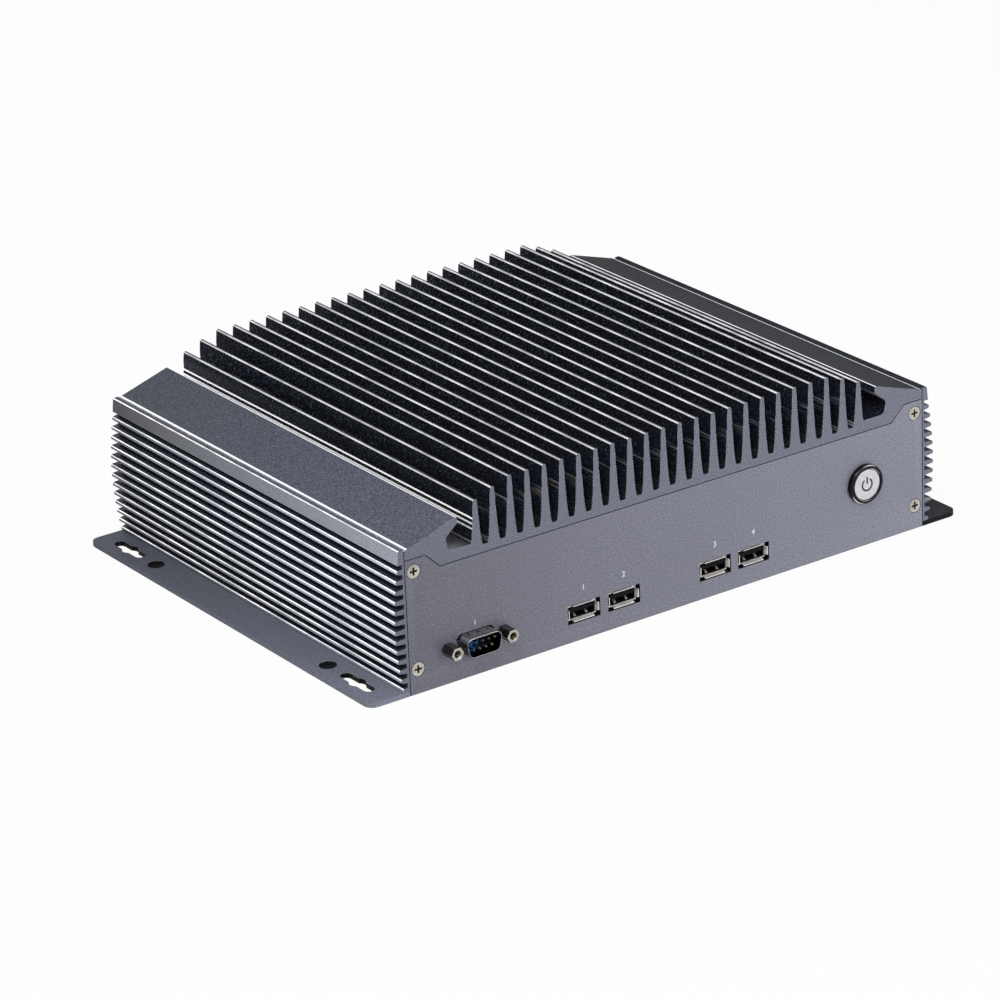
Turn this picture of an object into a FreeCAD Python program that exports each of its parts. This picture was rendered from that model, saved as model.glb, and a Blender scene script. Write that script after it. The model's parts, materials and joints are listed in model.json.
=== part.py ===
"""Fanless industrial PC: finned aluminium case, front and rear ports, power button and electronics.

All sizes are in millimetres. X runs along the front from left to right, Y from front to rear and Z up.
The origin lies under the middle of the case, on the underside of the bottom plate.
"""
import FreeCAD, Part
import math
import os

# Clearances
SLIP = 0.05                # round a screw or a spigot in its hole
EDGE_GAP = 0.3             # between the front panel and the lips of the side heatsinks
SEAM_GAP = 0.3             # between the top of a panel and the top heatsink
CUTOUT_GAP = 0.2           # round a port in its panel cut-out
SLIDE_GAP = 0.3            # round the moving button cap

# Case
CASE_DEPTH = 200.0
CASE_HEIGHT = 75.0
PANEL_WIDTH = 244.0
PANEL_THICKNESS = 2.0
PLATE_THICKNESS = 2.0
PLATE_BOTTOM = 0.0
PLATE_CORNER_RADIUS = 4.0
FLANGE_WIDTH = 18.2

# Top heatsink, with heights counted up from the underside of its base
BASE_THICKNESS = 3.0
NOTCH_FLOOR_RISE = 4.6
SHOULDER_RISE = 6.1
SHOULDER_LEDGE = 9.1
SHOULDER_CHAMFER = 6.3
FIN_HEIGHT = 24.1
OUTER_FIN_DROPS = (5.55, 2.4)
FIN_COUNT = 24
FIN_ROW_INSET = 31.8
FIN_TAPER = ((0.0, 5.6), (0.13, 4.65), (0.3, 3.85), (0.46, 3.4), (0.63, 2.95), (0.8, 2.35), (1.0, 1.6))
TIP_CHAMFER = 0.45
SERRATION_PITCH = 1.0
SERRATION_DEPTH = 0.3
SERRATED_SHARE = 0.64

# Side heatsinks
LIP_WIDTH = 0.9
WALL_THICKNESS = 3.7
RAIL_SETBACK = 1.4
RAIL_HEIGHT = 10.0
SIDE_FIN_COUNT = 13
SIDE_FIN_FIRST = 2.85
SIDE_FIN_LAST_DROP = 2.74
SIDE_FIN_REACH = 4.45
SIDE_FIN_ROOT = 2.2
SIDE_FIN_TIP = 1.5
SIDE_TIP_CHAMFER = 0.3
SIDE_ARC_HEIGHT = 27.5
SIDE_ARC_DROP = 0.0041
CAP_BOTTOM_RISE = 4.85
CAP_TOP_RISE = 10.5
CAP_REACH = 1.4
CAP_SLANT = 0.55

# Fasteners: M3 throughout
SCREW_RADIUS = 1.45
SCREW_HEAD_RADIUS = 2.75
SCREW_HEAD_HEIGHT = 1.9
COUNTERSINK_RADIUS = 3.0
COUNTERSINK_DEPTH = 1.4
RECESS_LENGTH = 3.2
RECESS_WIDTH = 0.85
RECESS_DEPTH = 1.1
PANEL_SCREW_INSET = 3.7
PANEL_SCREW_LOW = 9.8
PANEL_SCREW_DROP = 5.2
PANEL_SCREW_LENGTH = 10.0
PLATE_SCREW_END_GAP = 24.0
PLATE_SCREW_LENGTH = 9.0
SINK_SCREW_END_GAP = 30.0
SINK_SCREW_REACH = 3.4

# Mounting flanges of the bottom plate
SLOT_INSET = 7.4
SLOT_END_GAP = 19.2
SLOT_LENGTH = 19.6
SLOT_WIDTH = 4.4
SLOT_EYE_RADIUS = 3.3
PLUG_HOLE_END_GAP = 38.9
PLUG_HOLE_RADIUS = 3.45
PLUG_RECESS = 0.5
PLUG_CLEAR_OF_FLOOR = 0.2

# Main board
BOARD_UNDERSIDE = 6.3
BOARD_THICKNESS = 1.6
BOARD_SIDE_GAP = 4.3
BOARD_END_GAP = 2.0
BOARD_HOLE_INSET = 7.0
POST_ACROSS_FLATS = 5.0

# Front ports
USB_XS = (-42.9, -24.2, 19.2, 37.8)
USB_HEIGHT = 11.3
USB_WIDTH = 13.1
USB_TALL = 5.7
USB_DEPTH = 14.0
USB_SHEET = 0.3
USB_LIP_REACH = 0.75
USB_LIP_LENGTH = 1.6
USB_TONGUE_WIDTH = 11.2
USB_TONGUE_THICKNESS = 1.8
USB_TONGUE_RECESS = 1.2
USB_CONTACT_COUNT = 4
USB_CONTACT_PITCH = 2.2

SERIAL_INSET = 29.6
SERIAL_HEIGHT = 14.0
SERIAL_PROUD = 6.0
SERIAL_WIDTH = 16.6
SERIAL_TALL = 8.0
SERIAL_SHEET = 0.4
SERIAL_SLANT = 1.45
SERIAL_FLANGE = (30.8, 12.2)
SERIAL_FLANGE_THICKNESS = 0.8
SERIAL_SCREW_SPACING = 25.0
SERIAL_BODY_DEPTH = 12.0
PIN_RADIUS = 0.5
PIN_PITCH = 2.77
PIN_ROW_OFFSET = 1.42
JACK_ACROSS_FLATS = 4.8
JACK_PROUD = 6.5
JACK_BORE_RADIUS = 1.25
JACK_SHANK_RADIUS = 1.45

# Power button
BUTTON_INSET = 29.3
BUTTON_HEIGHT = 26.3
BEZEL_RADIUS = 8.1
BEZEL_PROUD = 2.2
BEZEL_CHAMFER = 0.9
BARREL_RADIUS = 7.6
BARREL_BORE = 7.1
BARREL_LENGTH = 18.0
LIP_RADIUS = 6.5
LIP_THICKNESS = 1.3
CAP_SUNK = 0.3
CAP_SHOULDER = 6.8
CAP_SHOULDER_THICKNESS = 2.0
BUTTON_TRAVEL = 1.5
BUTTON_END_GAP = 0.3
STEM_RADIUS = 2.0
STEM_LENGTH = 7.4
SYMBOL_RADIUS = 2.65
SYMBOL_LINE = 0.5
SYMBOL_DEPTH = 0.3
SYMBOL_GAP_ANGLE = 70.0
SPRING_RADIUS = 4.2
SPRING_WIRE = 0.35
SPRING_TURNS = 5
NUT_ACROSS_FLATS = 19.0
NUT_THICKNESS = 2.5
SWITCH_FRONT = 4.0
SWITCH_LENGTH = 8.0
TERMINAL_LENGTH = 5.0
TERMINAL_SPACING = 5.0
TERMINAL_SECTION = (2.2, 0.6)
TERMINAL_ROOT = 3.0
BUTTON_PLUG_WALL = 2.0
BUTTON_LEAD_RUN = 25.0
BUTTON_HEADER_HEIGHT = 6.0
WIRE_RADIUS = 0.8
WIRE_SPACING = 3.2

# Processor and its heat path
PROCESSOR_X = 25.0
PROCESSOR_SIZE = 38.0
PROCESSOR_LID_SIZE = 30.0
PROCESSOR_THICKNESS = 2.2
PROCESSOR_GAP = 6.0
PAD_THICKNESS = 0.5
BLOCK_SIZE = 38.0
BLOCK_FLANGE_SIZE = 66.0
BLOCK_FLANGE_THICKNESS = 4.0
BLOCK_SCREW_INSET = 6.0
BLOCK_SCREW_REACH = 2.2

# Memory, cards and small parts on the board
MEMORY_SOCKET_X = 66.0
MEMORY_SOCKET_DEPTH = 6.5
MEMORY_SOCKET_TALL = 5.2
MEMORY_ARM_THICKNESS = 1.9
MEMORY_WIDTH = 67.6
MEMORY_REACH = 30.0
MEMORY_THICKNESS = 1.2
MEMORY_LIFT = 3.0
MEMORY_GRIP = 2.5
MEMORY_CHIP = (12.0, 9.0, 1.0)
MEMORY_CHIP_COUNT = 4
CARD_WIDTH = 22.0
CARD_THICKNESS = 0.8
CARD_LIFT = 2.6
CARD_SOCKET_DEPTH = 7.0
CARD_SOCKET_TALL = 4.0
CARD_GRIP = 1.5
CARD_HOLE_INSET = 2.0
CARD_CHIP = (14.0, 1.2)
SSD_X = -1.0
SSD_LENGTH = 80.0
SSD_FRONT_GAP = 7.5
WIRELESS_X = -58.0
WIRELESS_LENGTH = 30.0
WIRELESS_FRONT_GAP = 20.5
COIN_X = 54.0
COIN_FRONT_GAP = 40.0
COIN_RADIUS = 10.0
COIN_THICKNESS = 3.2
COIN_LIFT = 1.0
COIN_HOLDER = (24.0, 22.4, 3.6)
CHOKE_SIZE = 7.0
CHOKE_TALL = 4.2
CHOKE_COUNT = 4
CHOKE_PITCH = 10.0
CHOKE_GAP = 4.5
CAPACITOR_RADIUS = 4.0
CAPACITOR_TALL = 10.0
CAPACITOR_XS = (72.0, 82.0, 92.0)
CAPACITOR_REAR_GAP = 24.0

# Storage drive on its tray
TRAY_TOP = 31.0
TRAY_THICKNESS = 1.0
TRAY_SIDE_GAP = 10.0
TRAY_REAR_GAP = 10.0
TRAY_MARGIN = (7.075, 2.0)
TRAY_POST_INSET = (3.7, 10.0)
TRAY_WINDOW = (40.0, 50.0)
DRIVE_SIZE = (69.85, 100.0, 7.0)
DRIVE_HOLE_INSET = (4.07, 11.7)
DRIVE_SCREW_REACH = 2.6
DRIVE_PLUG_SIZE = (34.0, 7.0, 5.0)
DRIVE_CABLE_RADIUS = 1.5
DRIVE_CABLE_OFFSET = 12.5
DRIVE_CABLE_RUN = 19.0
DRIVE_HEADER = (14.0, 6.0, 8.0)

# Rear ports
NETWORK_XS = (-14.0, 6.0)
NETWORK_SIZE = (16.0, 21.0, 13.3)
NETWORK_OPENING = (11.8, 13.0, 7.4)
REAR_USB_XS = (26.0, 44.0)
DISPLAY_X = 63.0
DISPLAY_SIZE = (15.0, 12.0, 5.6)
DISPLAY_WALL = 0.5
INLET_X = 86.0
INLET_SIZE = (18.0, 18.0, 11.0)
INLET_OPENING = (15.0, 11.5, 7.0)
INLET_PIN_SPACING = 4.5
INLET_PIN_WIDTH = 1.2
INLET_PIN_LENGTH = 6.5
ANTENNA_INSET = 25.0
ANTENNA_DROP = 6.9
ANTENNA_RADIUS = 3.2
ANTENNA_HEAD = (1.3, 0.9)

# Worked-out heights
BASE_UNDERSIDE = CASE_HEIGHT - FIN_HEIGHT - BASE_THICKNESS
VALLEY_FLOOR = BASE_UNDERSIDE + BASE_THICKNESS
NOTCH_FLOOR = BASE_UNDERSIDE + NOTCH_FLOOR_RISE
SHOULDER_UNDERSIDE = BASE_UNDERSIDE + SHOULDER_RISE
LOWER_RAIL_TOP = PANEL_SCREW_LOW + RAIL_HEIGHT / 2
UPPER_RAIL_BOTTOM = SHOULDER_UNDERSIDE - RAIL_HEIGHT
CAP_BOTTOM = BASE_UNDERSIDE + CAP_BOTTOM_RISE
CAP_TOP = BASE_UNDERSIDE + CAP_TOP_RISE
SIDE_FIN_PITCH = (CAP_BOTTOM - SIDE_FIN_LAST_DROP - SIDE_FIN_FIRST) / (SIDE_FIN_COUNT - 1)
PANEL_SCREW_HEIGHTS = (PANEL_SCREW_LOW, SHOULDER_UNDERSIDE - PANEL_SCREW_DROP)
BOARD_TOP = BOARD_UNDERSIDE + BOARD_THICKNESS
TRAY_UNDERSIDE = TRAY_TOP - TRAY_THICKNESS
ANTENNA_HEIGHT = BASE_UNDERSIDE - ANTENNA_DROP

# Worked-out places along X
PANEL_EDGE = PANEL_WIDTH / 2
LIP_INNER = PANEL_EDGE + EDGE_GAP
LIP_OUTER = LIP_INNER + LIP_WIDTH
WALL_INNER = LIP_OUTER - WALL_THICKNESS
LEDGE_INNER = PANEL_EDGE - SHOULDER_LEDGE
BASE_HALF_WIDTH = LEDGE_INNER - SHOULDER_CHAMFER
RAIL_INNER = LEDGE_INNER + RAIL_SETBACK
FIN_PITCH = 2 * (PANEL_EDGE - FIN_ROW_INSET) / (FIN_COUNT - 1)
PLATE_WIDTH = PANEL_WIDTH + 2 * FLANGE_WIDTH
SLOT_X = PLATE_WIDTH / 2 - SLOT_INSET
PANEL_SCREW_X = PANEL_EDGE - PANEL_SCREW_INSET
SINK_SCREW_X = WALL_INNER - SCREW_HEAD_RADIUS - EDGE_GAP
BOARD_WIDTH = 2 * (RAIL_INNER - BOARD_SIDE_GAP)
BOARD_HOLE_X = BOARD_WIDTH / 2 - BOARD_HOLE_INSET
SERIAL_X = SERIAL_INSET - PANEL_EDGE
BUTTON_X = PANEL_EDGE - BUTTON_INSET
ANTENNA_XS = (ANTENNA_INSET - PANEL_EDGE, PANEL_EDGE - ANTENNA_INSET)
TRAY_SIZE = (DRIVE_SIZE[0] + 2 * TRAY_MARGIN[0], DRIVE_SIZE[1] + 2 * TRAY_MARGIN[1])
TRAY_X = TRAY_SIDE_GAP + TRAY_SIZE[0] / 2 - WALL_INNER

# Worked-out places along Y
FRONT = -CASE_DEPTH / 2
REAR = CASE_DEPTH / 2
PANEL_BACK = FRONT + PANEL_THICKNESS
REAR_PANEL_FRONT = REAR - PANEL_THICKNESS
PLATE_SCREW_YS = (FRONT + PLATE_SCREW_END_GAP, 0.0, REAR - PLATE_SCREW_END_GAP)
SINK_SCREW_YS = (FRONT + SINK_SCREW_END_GAP, 0.0, REAR - SINK_SCREW_END_GAP)
SLOT_Y = REAR - SLOT_END_GAP
PLUG_HOLE_Y = REAR - PLUG_HOLE_END_GAP
BOARD_DEPTH = CASE_DEPTH - 2 * (PANEL_THICKNESS + BOARD_END_GAP)
SERIAL_BODY_FRONT = PANEL_BACK + SERIAL_FLANGE_THICKNESS
SERIAL_BODY_BACK = SERIAL_BODY_FRONT + SERIAL_BODY_DEPTH
SSD_SOCKET_Y = FRONT + SSD_FRONT_GAP + SSD_LENGTH - CARD_GRIP
WIRELESS_SOCKET_Y = FRONT + WIRELESS_FRONT_GAP + WIRELESS_LENGTH - CARD_GRIP
COIN_Y = FRONT + COIN_FRONT_GAP
PROCESSOR_Y = SSD_SOCKET_Y + CARD_SOCKET_DEPTH + PROCESSOR_GAP + PROCESSOR_SIZE / 2
MEMORY_Y = PROCESSOR_Y - 4.0
CHOKE_Y = PROCESSOR_Y + PROCESSOR_SIZE / 2 + CHOKE_GAP + CHOKE_SIZE / 2
CAPACITOR_Y = REAR - CAPACITOR_REAR_GAP
TRAY_Y = REAR - TRAY_REAR_GAP - TRAY_SIZE[1] / 2
BOARD_HOLES = (
    (-BOARD_HOLE_X, FRONT + 28.0), (BOARD_HOLE_X, FRONT + 28.0),
    (-BOARD_HOLE_X, REAR - 11.0), (BOARD_HOLE_X, REAR - 11.0),
    (SSD_X - 29.0, FRONT + 40.0), (MEMORY_SOCKET_X - 6.0, REAR - 40.0),
)

# Worked-out places along the axis of the power button
BEZEL_FACE = FRONT - BEZEL_PROUD
LIP_BACK = BEZEL_FACE + LIP_THICKNESS
CAP_FACE = BEZEL_FACE + CAP_SUNK
SHOULDER_BACK = LIP_BACK + CAP_SHOULDER_THICKNESS
STEM_END = SHOULDER_BACK + STEM_LENGTH
BARREL_BACK = FRONT + BARREL_LENGTH
SWITCH_FACE = BARREL_BACK - SWITCH_FRONT
SWITCH_BACK = BARREL_BACK + SWITCH_LENGTH
TERMINAL_END = SWITCH_BACK + TERMINAL_LENGTH
BUTTON_PLUG_BACK = TERMINAL_END + BUTTON_PLUG_WALL
BUTTON_HEADER_Y = BUTTON_PLUG_BACK + BUTTON_LEAD_RUN


def point(x, y, z):
    """A vector."""
    return FreeCAD.Vector(x, y, z)


def box(xs, ys, zs):
    """A block between pairs of limits."""
    return Part.makeBox(xs[1] - xs[0], ys[1] - ys[0], zs[1] - zs[0], point(xs[0], ys[0], zs[0]))


def spread(centre, width):
    """The limits of a width laid evenly about a centre."""
    return (centre - width / 2, centre + width / 2)


def rod_along_y(x, z, radius, y_start, y_end):
    """A round bar along Y."""
    return Part.makeCylinder(radius, y_end - y_start, point(x, y_start, z), point(0, 1, 0))


def rod_along_z(x, y, radius, z_start, z_end):
    """A round bar along Z."""
    return Part.makeCylinder(radius, z_end - z_start, point(x, y, z_start), point(0, 0, 1))


def outline_prism(corners, travel):
    """The solid that a closed outline of vectors sweeps along a straight travel."""
    loop = Part.makePolygon(corners + [corners[0]])
    return Part.Face(loop).extrude(travel)


def prism_along_y(corners, y_start, y_end):
    """A prism along Y from (x, z) corners."""
    vectors = [point(x, y_start, z) for x, z in corners]
    return outline_prism(vectors, point(0, y_end - y_start, 0))


def prism_along_z(corners, z_start, z_end):
    """A prism along Z from (x, y) corners."""
    vectors = [point(x, y, z_start) for x, y in corners]
    return outline_prism(vectors, point(0, 0, z_end - z_start))


def hexagon(centre_a, centre_b, across_flats):
    """Six corners of a hexagon with flats across its second axis."""
    radius = across_flats / math.sqrt(3.0)
    turns = [math.radians(60.0 * step) for step in range(6)]
    return [(centre_a + radius * math.cos(turn), centre_b + radius * math.sin(turn)) for turn in turns]


def fused(shapes):
    """One solid from several that meet."""
    whole = shapes[0].fuse(shapes[1:])
    return whole.removeSplitter()


def without(shape, cutters):
    """A shape less its holes."""
    return shape.cut(cutters)


def mirrored(shape):
    """The same shape on the other side of the case."""
    return shape.mirror(point(0, 0, 0), point(1, 0, 0))


def turned_to_rear(shape):
    """The same shape turned half round the upright axis."""
    copy = shape.copy()
    copy.rotate(point(0, 0, 0), point(0, 0, 1), 180.0)
    return copy


def save(node, shapes):
    """Write one named piece, or a group of like pieces, to its file."""
    shape = shapes[0] if len(shapes) == 1 else Part.makeCompound(shapes)
    shape.exportStep("parts/%s.step" % node)
    solids = shape.Solids
    print("%-26s solids %2d  volume %10.1f  valid %s" % (node, len(solids), shape.Volume, shape.isValid()))


# Screws and posts

def cross_recess(along):
    """A cross-shaped driver recess at the origin, reaching inwards along +Y or +Z."""
    half = RECESS_LENGTH / 2
    arm = RECESS_WIDTH / 2
    if along == "y":
        flat = box((-half, half), (-SLIP, RECESS_DEPTH), (-arm, arm))
        upright = box((-arm, arm), (-SLIP, RECESS_DEPTH), (-half, half))
    else:
        flat = box((-half, half), (-arm, arm), (-SLIP, RECESS_DEPTH))
        upright = box((-arm, arm), (-half, half), (-SLIP, RECESS_DEPTH))
    return flat.fuse(upright)


def countersunk_screw(x, z, length):
    """A flat-headed screw driven into the front of the case along +Y."""
    top = FRONT + SLIP
    cone = Part.makeCone(SCREW_HEAD_RADIUS, SCREW_RADIUS, COUNTERSINK_DEPTH, point(x, top, z), point(0, 1, 0))
    shank = rod_along_y(x, z, SCREW_RADIUS, top + COUNTERSINK_DEPTH, FRONT + length)
    recess = cross_recess("y")
    recess.translate(point(x, top, z))
    return without(fused([cone, shank]), [recess])


def countersink(x, z):
    """The hole for a flat-headed screw through the front panel."""
    cone = Part.makeCone(COUNTERSINK_RADIUS, SCREW_RADIUS + SLIP, COUNTERSINK_DEPTH + SLIP,
                         point(x, FRONT, z), point(0, 1, 0))
    return cone.fuse(rod_along_y(x, z, SCREW_RADIUS + SLIP, FRONT, PANEL_BACK))


def plate_screw(x, y):
    """A flat-headed screw driven up through the bottom plate."""
    bottom = PLATE_BOTTOM + SLIP
    cone = Part.makeCone(SCREW_HEAD_RADIUS, SCREW_RADIUS, COUNTERSINK_DEPTH,
                         point(x, y, bottom), point(0, 0, 1))
    shank = rod_along_z(x, y, SCREW_RADIUS, bottom + COUNTERSINK_DEPTH, bottom + PLATE_SCREW_LENGTH)
    recess = cross_recess("z")
    recess.translate(point(x, y, bottom))
    return without(fused([cone, shank]), [recess])


def plate_countersink(x, y):
    """The hole for a flat-headed screw through the bottom plate."""
    cone = Part.makeCone(COUNTERSINK_RADIUS, SCREW_RADIUS + SLIP, COUNTERSINK_DEPTH + SLIP,
                         point(x, y, PLATE_BOTTOM), point(0, 0, 1))
    return cone.fuse(rod_along_z(x, y, SCREW_RADIUS + SLIP, PLATE_BOTTOM, PLATE_THICKNESS))


def screw_up(x, y, seat, tip):
    """A round-headed screw pointing up, with its head under the seat height."""
    head = rod_along_z(x, y, SCREW_HEAD_RADIUS, seat - SCREW_HEAD_HEIGHT, seat)
    shank = rod_along_z(x, y, SCREW_RADIUS, seat, tip)
    recess = cross_recess("z")
    recess.translate(point(x, y, seat - SCREW_HEAD_HEIGHT))
    return without(fused([head, shank]), [recess])


def screw_down(x, y, seat, tip):
    """A round-headed screw pointing down, with its head on the seat height."""
    head = rod_along_z(x, y, SCREW_HEAD_RADIUS, seat, seat + SCREW_HEAD_HEIGHT)
    shank = rod_along_z(x, y, SCREW_RADIUS, tip, seat)
    recess = cross_recess("z")
    recess.translate(point(x, y, seat + SCREW_HEAD_HEIGHT - RECESS_DEPTH))
    return without(fused([head, shank]), [recess])


def screw_hole(x, y, z_start, z_end):
    """A hole along Z that a screw shank fits."""
    return rod_along_z(x, y, SCREW_RADIUS + SLIP, z_start, z_end)


def post(x, y, z_start, z_end):
    """A six-sided spacer with a threaded hole right through."""
    bar = prism_along_z(hexagon(x, y, POST_ACROSS_FLATS), z_start, z_end)
    return without(bar, [screw_hole(x, y, z_start, z_end)])


def corner_points(centre, offset):
    """The four places at plus and minus an offset from a centre."""
    return [(centre[0] + sx * offset[0], centre[1] + sy * offset[1]) for sx in (-1, 1) for sy in (-1, 1)]


# Case

def fin_half_width(share):
    """Half the thickness of a top fin at a share of its height."""
    for (low, low_width), (high, high_width) in zip(FIN_TAPER, FIN_TAPER[1:]):
        if share <= high:
            return (low_width + (high_width - low_width) * (share - low) / (high - low)) / 2
    return FIN_TAPER[-1][1] / 2


def fin_flank(floor, top):
    """Half-width and height of the points up one flank of a top fin, from its floor to its tip."""
    height = top - VALLEY_FLOOR
    corners = [(fin_half_width((floor - VALLEY_FLOOR) / height), floor)]
    level = floor + SERRATION_PITCH / 2
    while level < VALLEY_FLOOR + SERRATED_SHARE * height:
        groove = level + SERRATION_PITCH / 2
        corners.append((fin_half_width((level - VALLEY_FLOOR) / height), level))
        corners.append((fin_half_width((groove - VALLEY_FLOOR) / height) - SERRATION_DEPTH, groove))
        level += SERRATION_PITCH
    corners.append((fin_half_width(FIN_TAPER[-2][0]), VALLEY_FLOOR + FIN_TAPER[-2][0] * height))
    corners.append((fin_half_width(1.0), top - TIP_CHAMFER))
    corners.append((fin_half_width(1.0) - TIP_CHAMFER, top))
    return corners


def top_fin_height(index):
    """The tip height of a fin, counted from either end of the row."""
    from_edge = min(index, FIN_COUNT - 1 - index)
    drop = OUTER_FIN_DROPS[from_edge] if from_edge < len(OUTER_FIN_DROPS) else 0.0
    return CASE_HEIGHT - drop


def shoulder_corners():
    """The outline of the right shoulder, from the base outwards, over the ridge and into the notch."""
    edge = PANEL_EDGE
    base = BASE_UNDERSIDE
    return [
        (BASE_HALF_WIDTH, base),
        (LEDGE_INNER, SHOULDER_UNDERSIDE),
        (edge, SHOULDER_UNDERSIDE),
        (edge, base + 9.8),
        (edge - 0.3, base + 10.1),
        (edge - 22.8, base + 17.0),
        (edge - 23.4, base + 17.0),
        (edge - 23.7, base + 15.7),
        (edge - 23.7, base + 14.6),
        (edge - 18.9, base + 10.6),
        (edge - 18.2, base + 9.3),
        (edge - 19.1, base + 5.5),
        (edge - 20.5, NOTCH_FLOOR),
    ]


def top_heatsink_outline():
    """The closed outline of the top heatsink across the case."""
    shoulder = shoulder_corners()
    corners = list(shoulder)
    for index in reversed(range(FIN_COUNT)):
        centre = (index - (FIN_COUNT - 1) / 2) * FIN_PITCH
        top = top_fin_height(index)
        right_floor = NOTCH_FLOOR if index == FIN_COUNT - 1 else VALLEY_FLOOR
        left_floor = NOTCH_FLOOR if index == 0 else VALLEY_FLOOR
        corners += [(centre + half, z) for half, z in fin_flank(right_floor, top)]
        corners += [(centre - half, z) for half, z in reversed(fin_flank(left_floor, top))]
    corners += [(-x, z) for x, z in reversed(shoulder)]
    return corners


def block_screw_places():
    """Where the screws of the heat block stand."""
    offset = BLOCK_FLANGE_SIZE / 2 - BLOCK_SCREW_INSET
    return corner_points((PROCESSOR_X, PROCESSOR_Y), (offset, offset))


def make_top_heatsink():
    """The top of the case, one extrusion with all its fins and both shoulders."""
    body = prism_along_y(top_heatsink_outline(), FRONT, REAR)
    shoulder_top = SHOULDER_UNDERSIDE + SINK_SCREW_REACH + 2 * SLIP
    holes = [screw_hole(side * SINK_SCREW_X, y, SHOULDER_UNDERSIDE, shoulder_top)
             for side in (-1, 1) for y in SINK_SCREW_YS]
    base_top = BASE_UNDERSIDE + BLOCK_SCREW_REACH + 2 * SLIP
    holes += [screw_hole(x, y, BASE_UNDERSIDE, base_top) for x, y in block_screw_places()]
    return without(body, holes)


def side_fin_reach(height):
    """How far a side fin stands out at a height, along the bowed line of the tips."""
    return SIDE_FIN_REACH - SIDE_ARC_DROP * (height - SIDE_ARC_HEIGHT) ** 2


def side_fin_outline():
    """The outer skin of the right side heatsink: lip, fins and cap."""
    corners = [(LIP_INNER, PLATE_THICKNESS)]
    for index in range(SIDE_FIN_COUNT):
        centre = SIDE_FIN_FIRST + index * SIDE_FIN_PITCH
        tip = LIP_OUTER + side_fin_reach(centre)
        edge = SIDE_TIP_CHAMFER
        corners += [
            (LIP_OUTER, max(centre - SIDE_FIN_ROOT / 2, PLATE_THICKNESS)),
            (tip - edge, centre - SIDE_FIN_TIP / 2),
            (tip, centre - SIDE_FIN_TIP / 2 + edge),
            (tip, centre + SIDE_FIN_TIP / 2 - edge),
            (tip - edge, centre + SIDE_FIN_TIP / 2),
            (LIP_OUTER, centre + SIDE_FIN_ROOT / 2),
        ]
    corners += [
        (LIP_OUTER, CAP_BOTTOM),
        (LIP_OUTER + CAP_REACH + CAP_SLANT, CAP_BOTTOM),
        (LIP_OUTER + CAP_REACH, CAP_TOP - SIDE_TIP_CHAMFER),
        (LIP_OUTER + CAP_REACH - SIDE_TIP_CHAMFER, CAP_TOP),
        (LIP_INNER, CAP_TOP),
    ]
    return corners


def make_right_side_heatsink():
    """The right wall of the case with its screw rails."""
    skin = prism_along_y(side_fin_outline(), FRONT, REAR)
    wall_corners = [
        (LIP_INNER, PLATE_THICKNESS), (LIP_INNER, SHOULDER_UNDERSIDE), (RAIL_INNER, SHOULDER_UNDERSIDE),
        (RAIL_INNER, UPPER_RAIL_BOTTOM), (WALL_INNER, UPPER_RAIL_BOTTOM), (WALL_INNER, LOWER_RAIL_TOP),
        (RAIL_INNER, LOWER_RAIL_TOP), (RAIL_INNER, PLATE_THICKNESS),
    ]
    wall = prism_along_y(wall_corners, PANEL_BACK, REAR_PANEL_FRONT)
    screw_end = PANEL_SCREW_LENGTH + 0.5
    holes = []
    for z in PANEL_SCREW_HEIGHTS:
        holes.append(rod_along_y(PANEL_SCREW_X, z, SCREW_RADIUS + SLIP, PANEL_BACK, FRONT + screw_end))
        holes.append(rod_along_y(PANEL_SCREW_X, z, SCREW_RADIUS + SLIP, REAR - screw_end, REAR_PANEL_FRONT))
    plate_screw_end = PLATE_BOTTOM + PLATE_SCREW_LENGTH + 0.5
    holes += [screw_hole(PANEL_SCREW_X, y, PLATE_THICKNESS, plate_screw_end) for y in PLATE_SCREW_YS]
    holes += [screw_hole(SINK_SCREW_X, y, UPPER_RAIL_BOTTOM, SHOULDER_UNDERSIDE) for y in SINK_SCREW_YS]
    return without(fused([skin, wall]), holes)


def panel_blank():
    """The front panel before its port cut-outs, with countersunk holes at its four corners."""
    base_top = BASE_UNDERSIDE - SEAM_GAP
    side_top = SHOULDER_UNDERSIDE - SEAM_GAP
    right = [(PANEL_EDGE, PLATE_BOTTOM), (PANEL_EDGE, side_top), (LEDGE_INNER + SEAM_GAP / 2, side_top),
             (BASE_HALF_WIDTH + SEAM_GAP / 2, base_top)]
    corners = right + [(-x, z) for x, z in reversed(right)]
    sheet = prism_along_y(corners, FRONT, PANEL_BACK)
    places = [(side * PANEL_SCREW_X, z) for side in (-1, 1) for z in PANEL_SCREW_HEIGHTS]
    return without(sheet, [countersink(x, z) for x, z in places])


def make_front_panel():
    """The front panel with its port cut-outs."""
    depth = (FRONT, PANEL_BACK)
    lip = 2 * (USB_LIP_REACH + CUTOUT_GAP)
    holes = [box(spread(x, USB_WIDTH + lip), depth, spread(USB_HEIGHT, USB_TALL + lip)) for x in USB_XS]
    holes.append(prism_along_y(serial_outline(CUTOUT_GAP), FRONT, PANEL_BACK))
    shank = JACK_SHANK_RADIUS + SLIP
    holes += [rod_along_y(x, SERIAL_HEIGHT, shank, FRONT, PANEL_BACK) for x in jackscrew_xs()]
    holes.append(rod_along_y(BUTTON_X, BUTTON_HEIGHT, BARREL_RADIUS + SLIP, FRONT, PANEL_BACK))
    return without(panel_blank(), holes)


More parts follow.
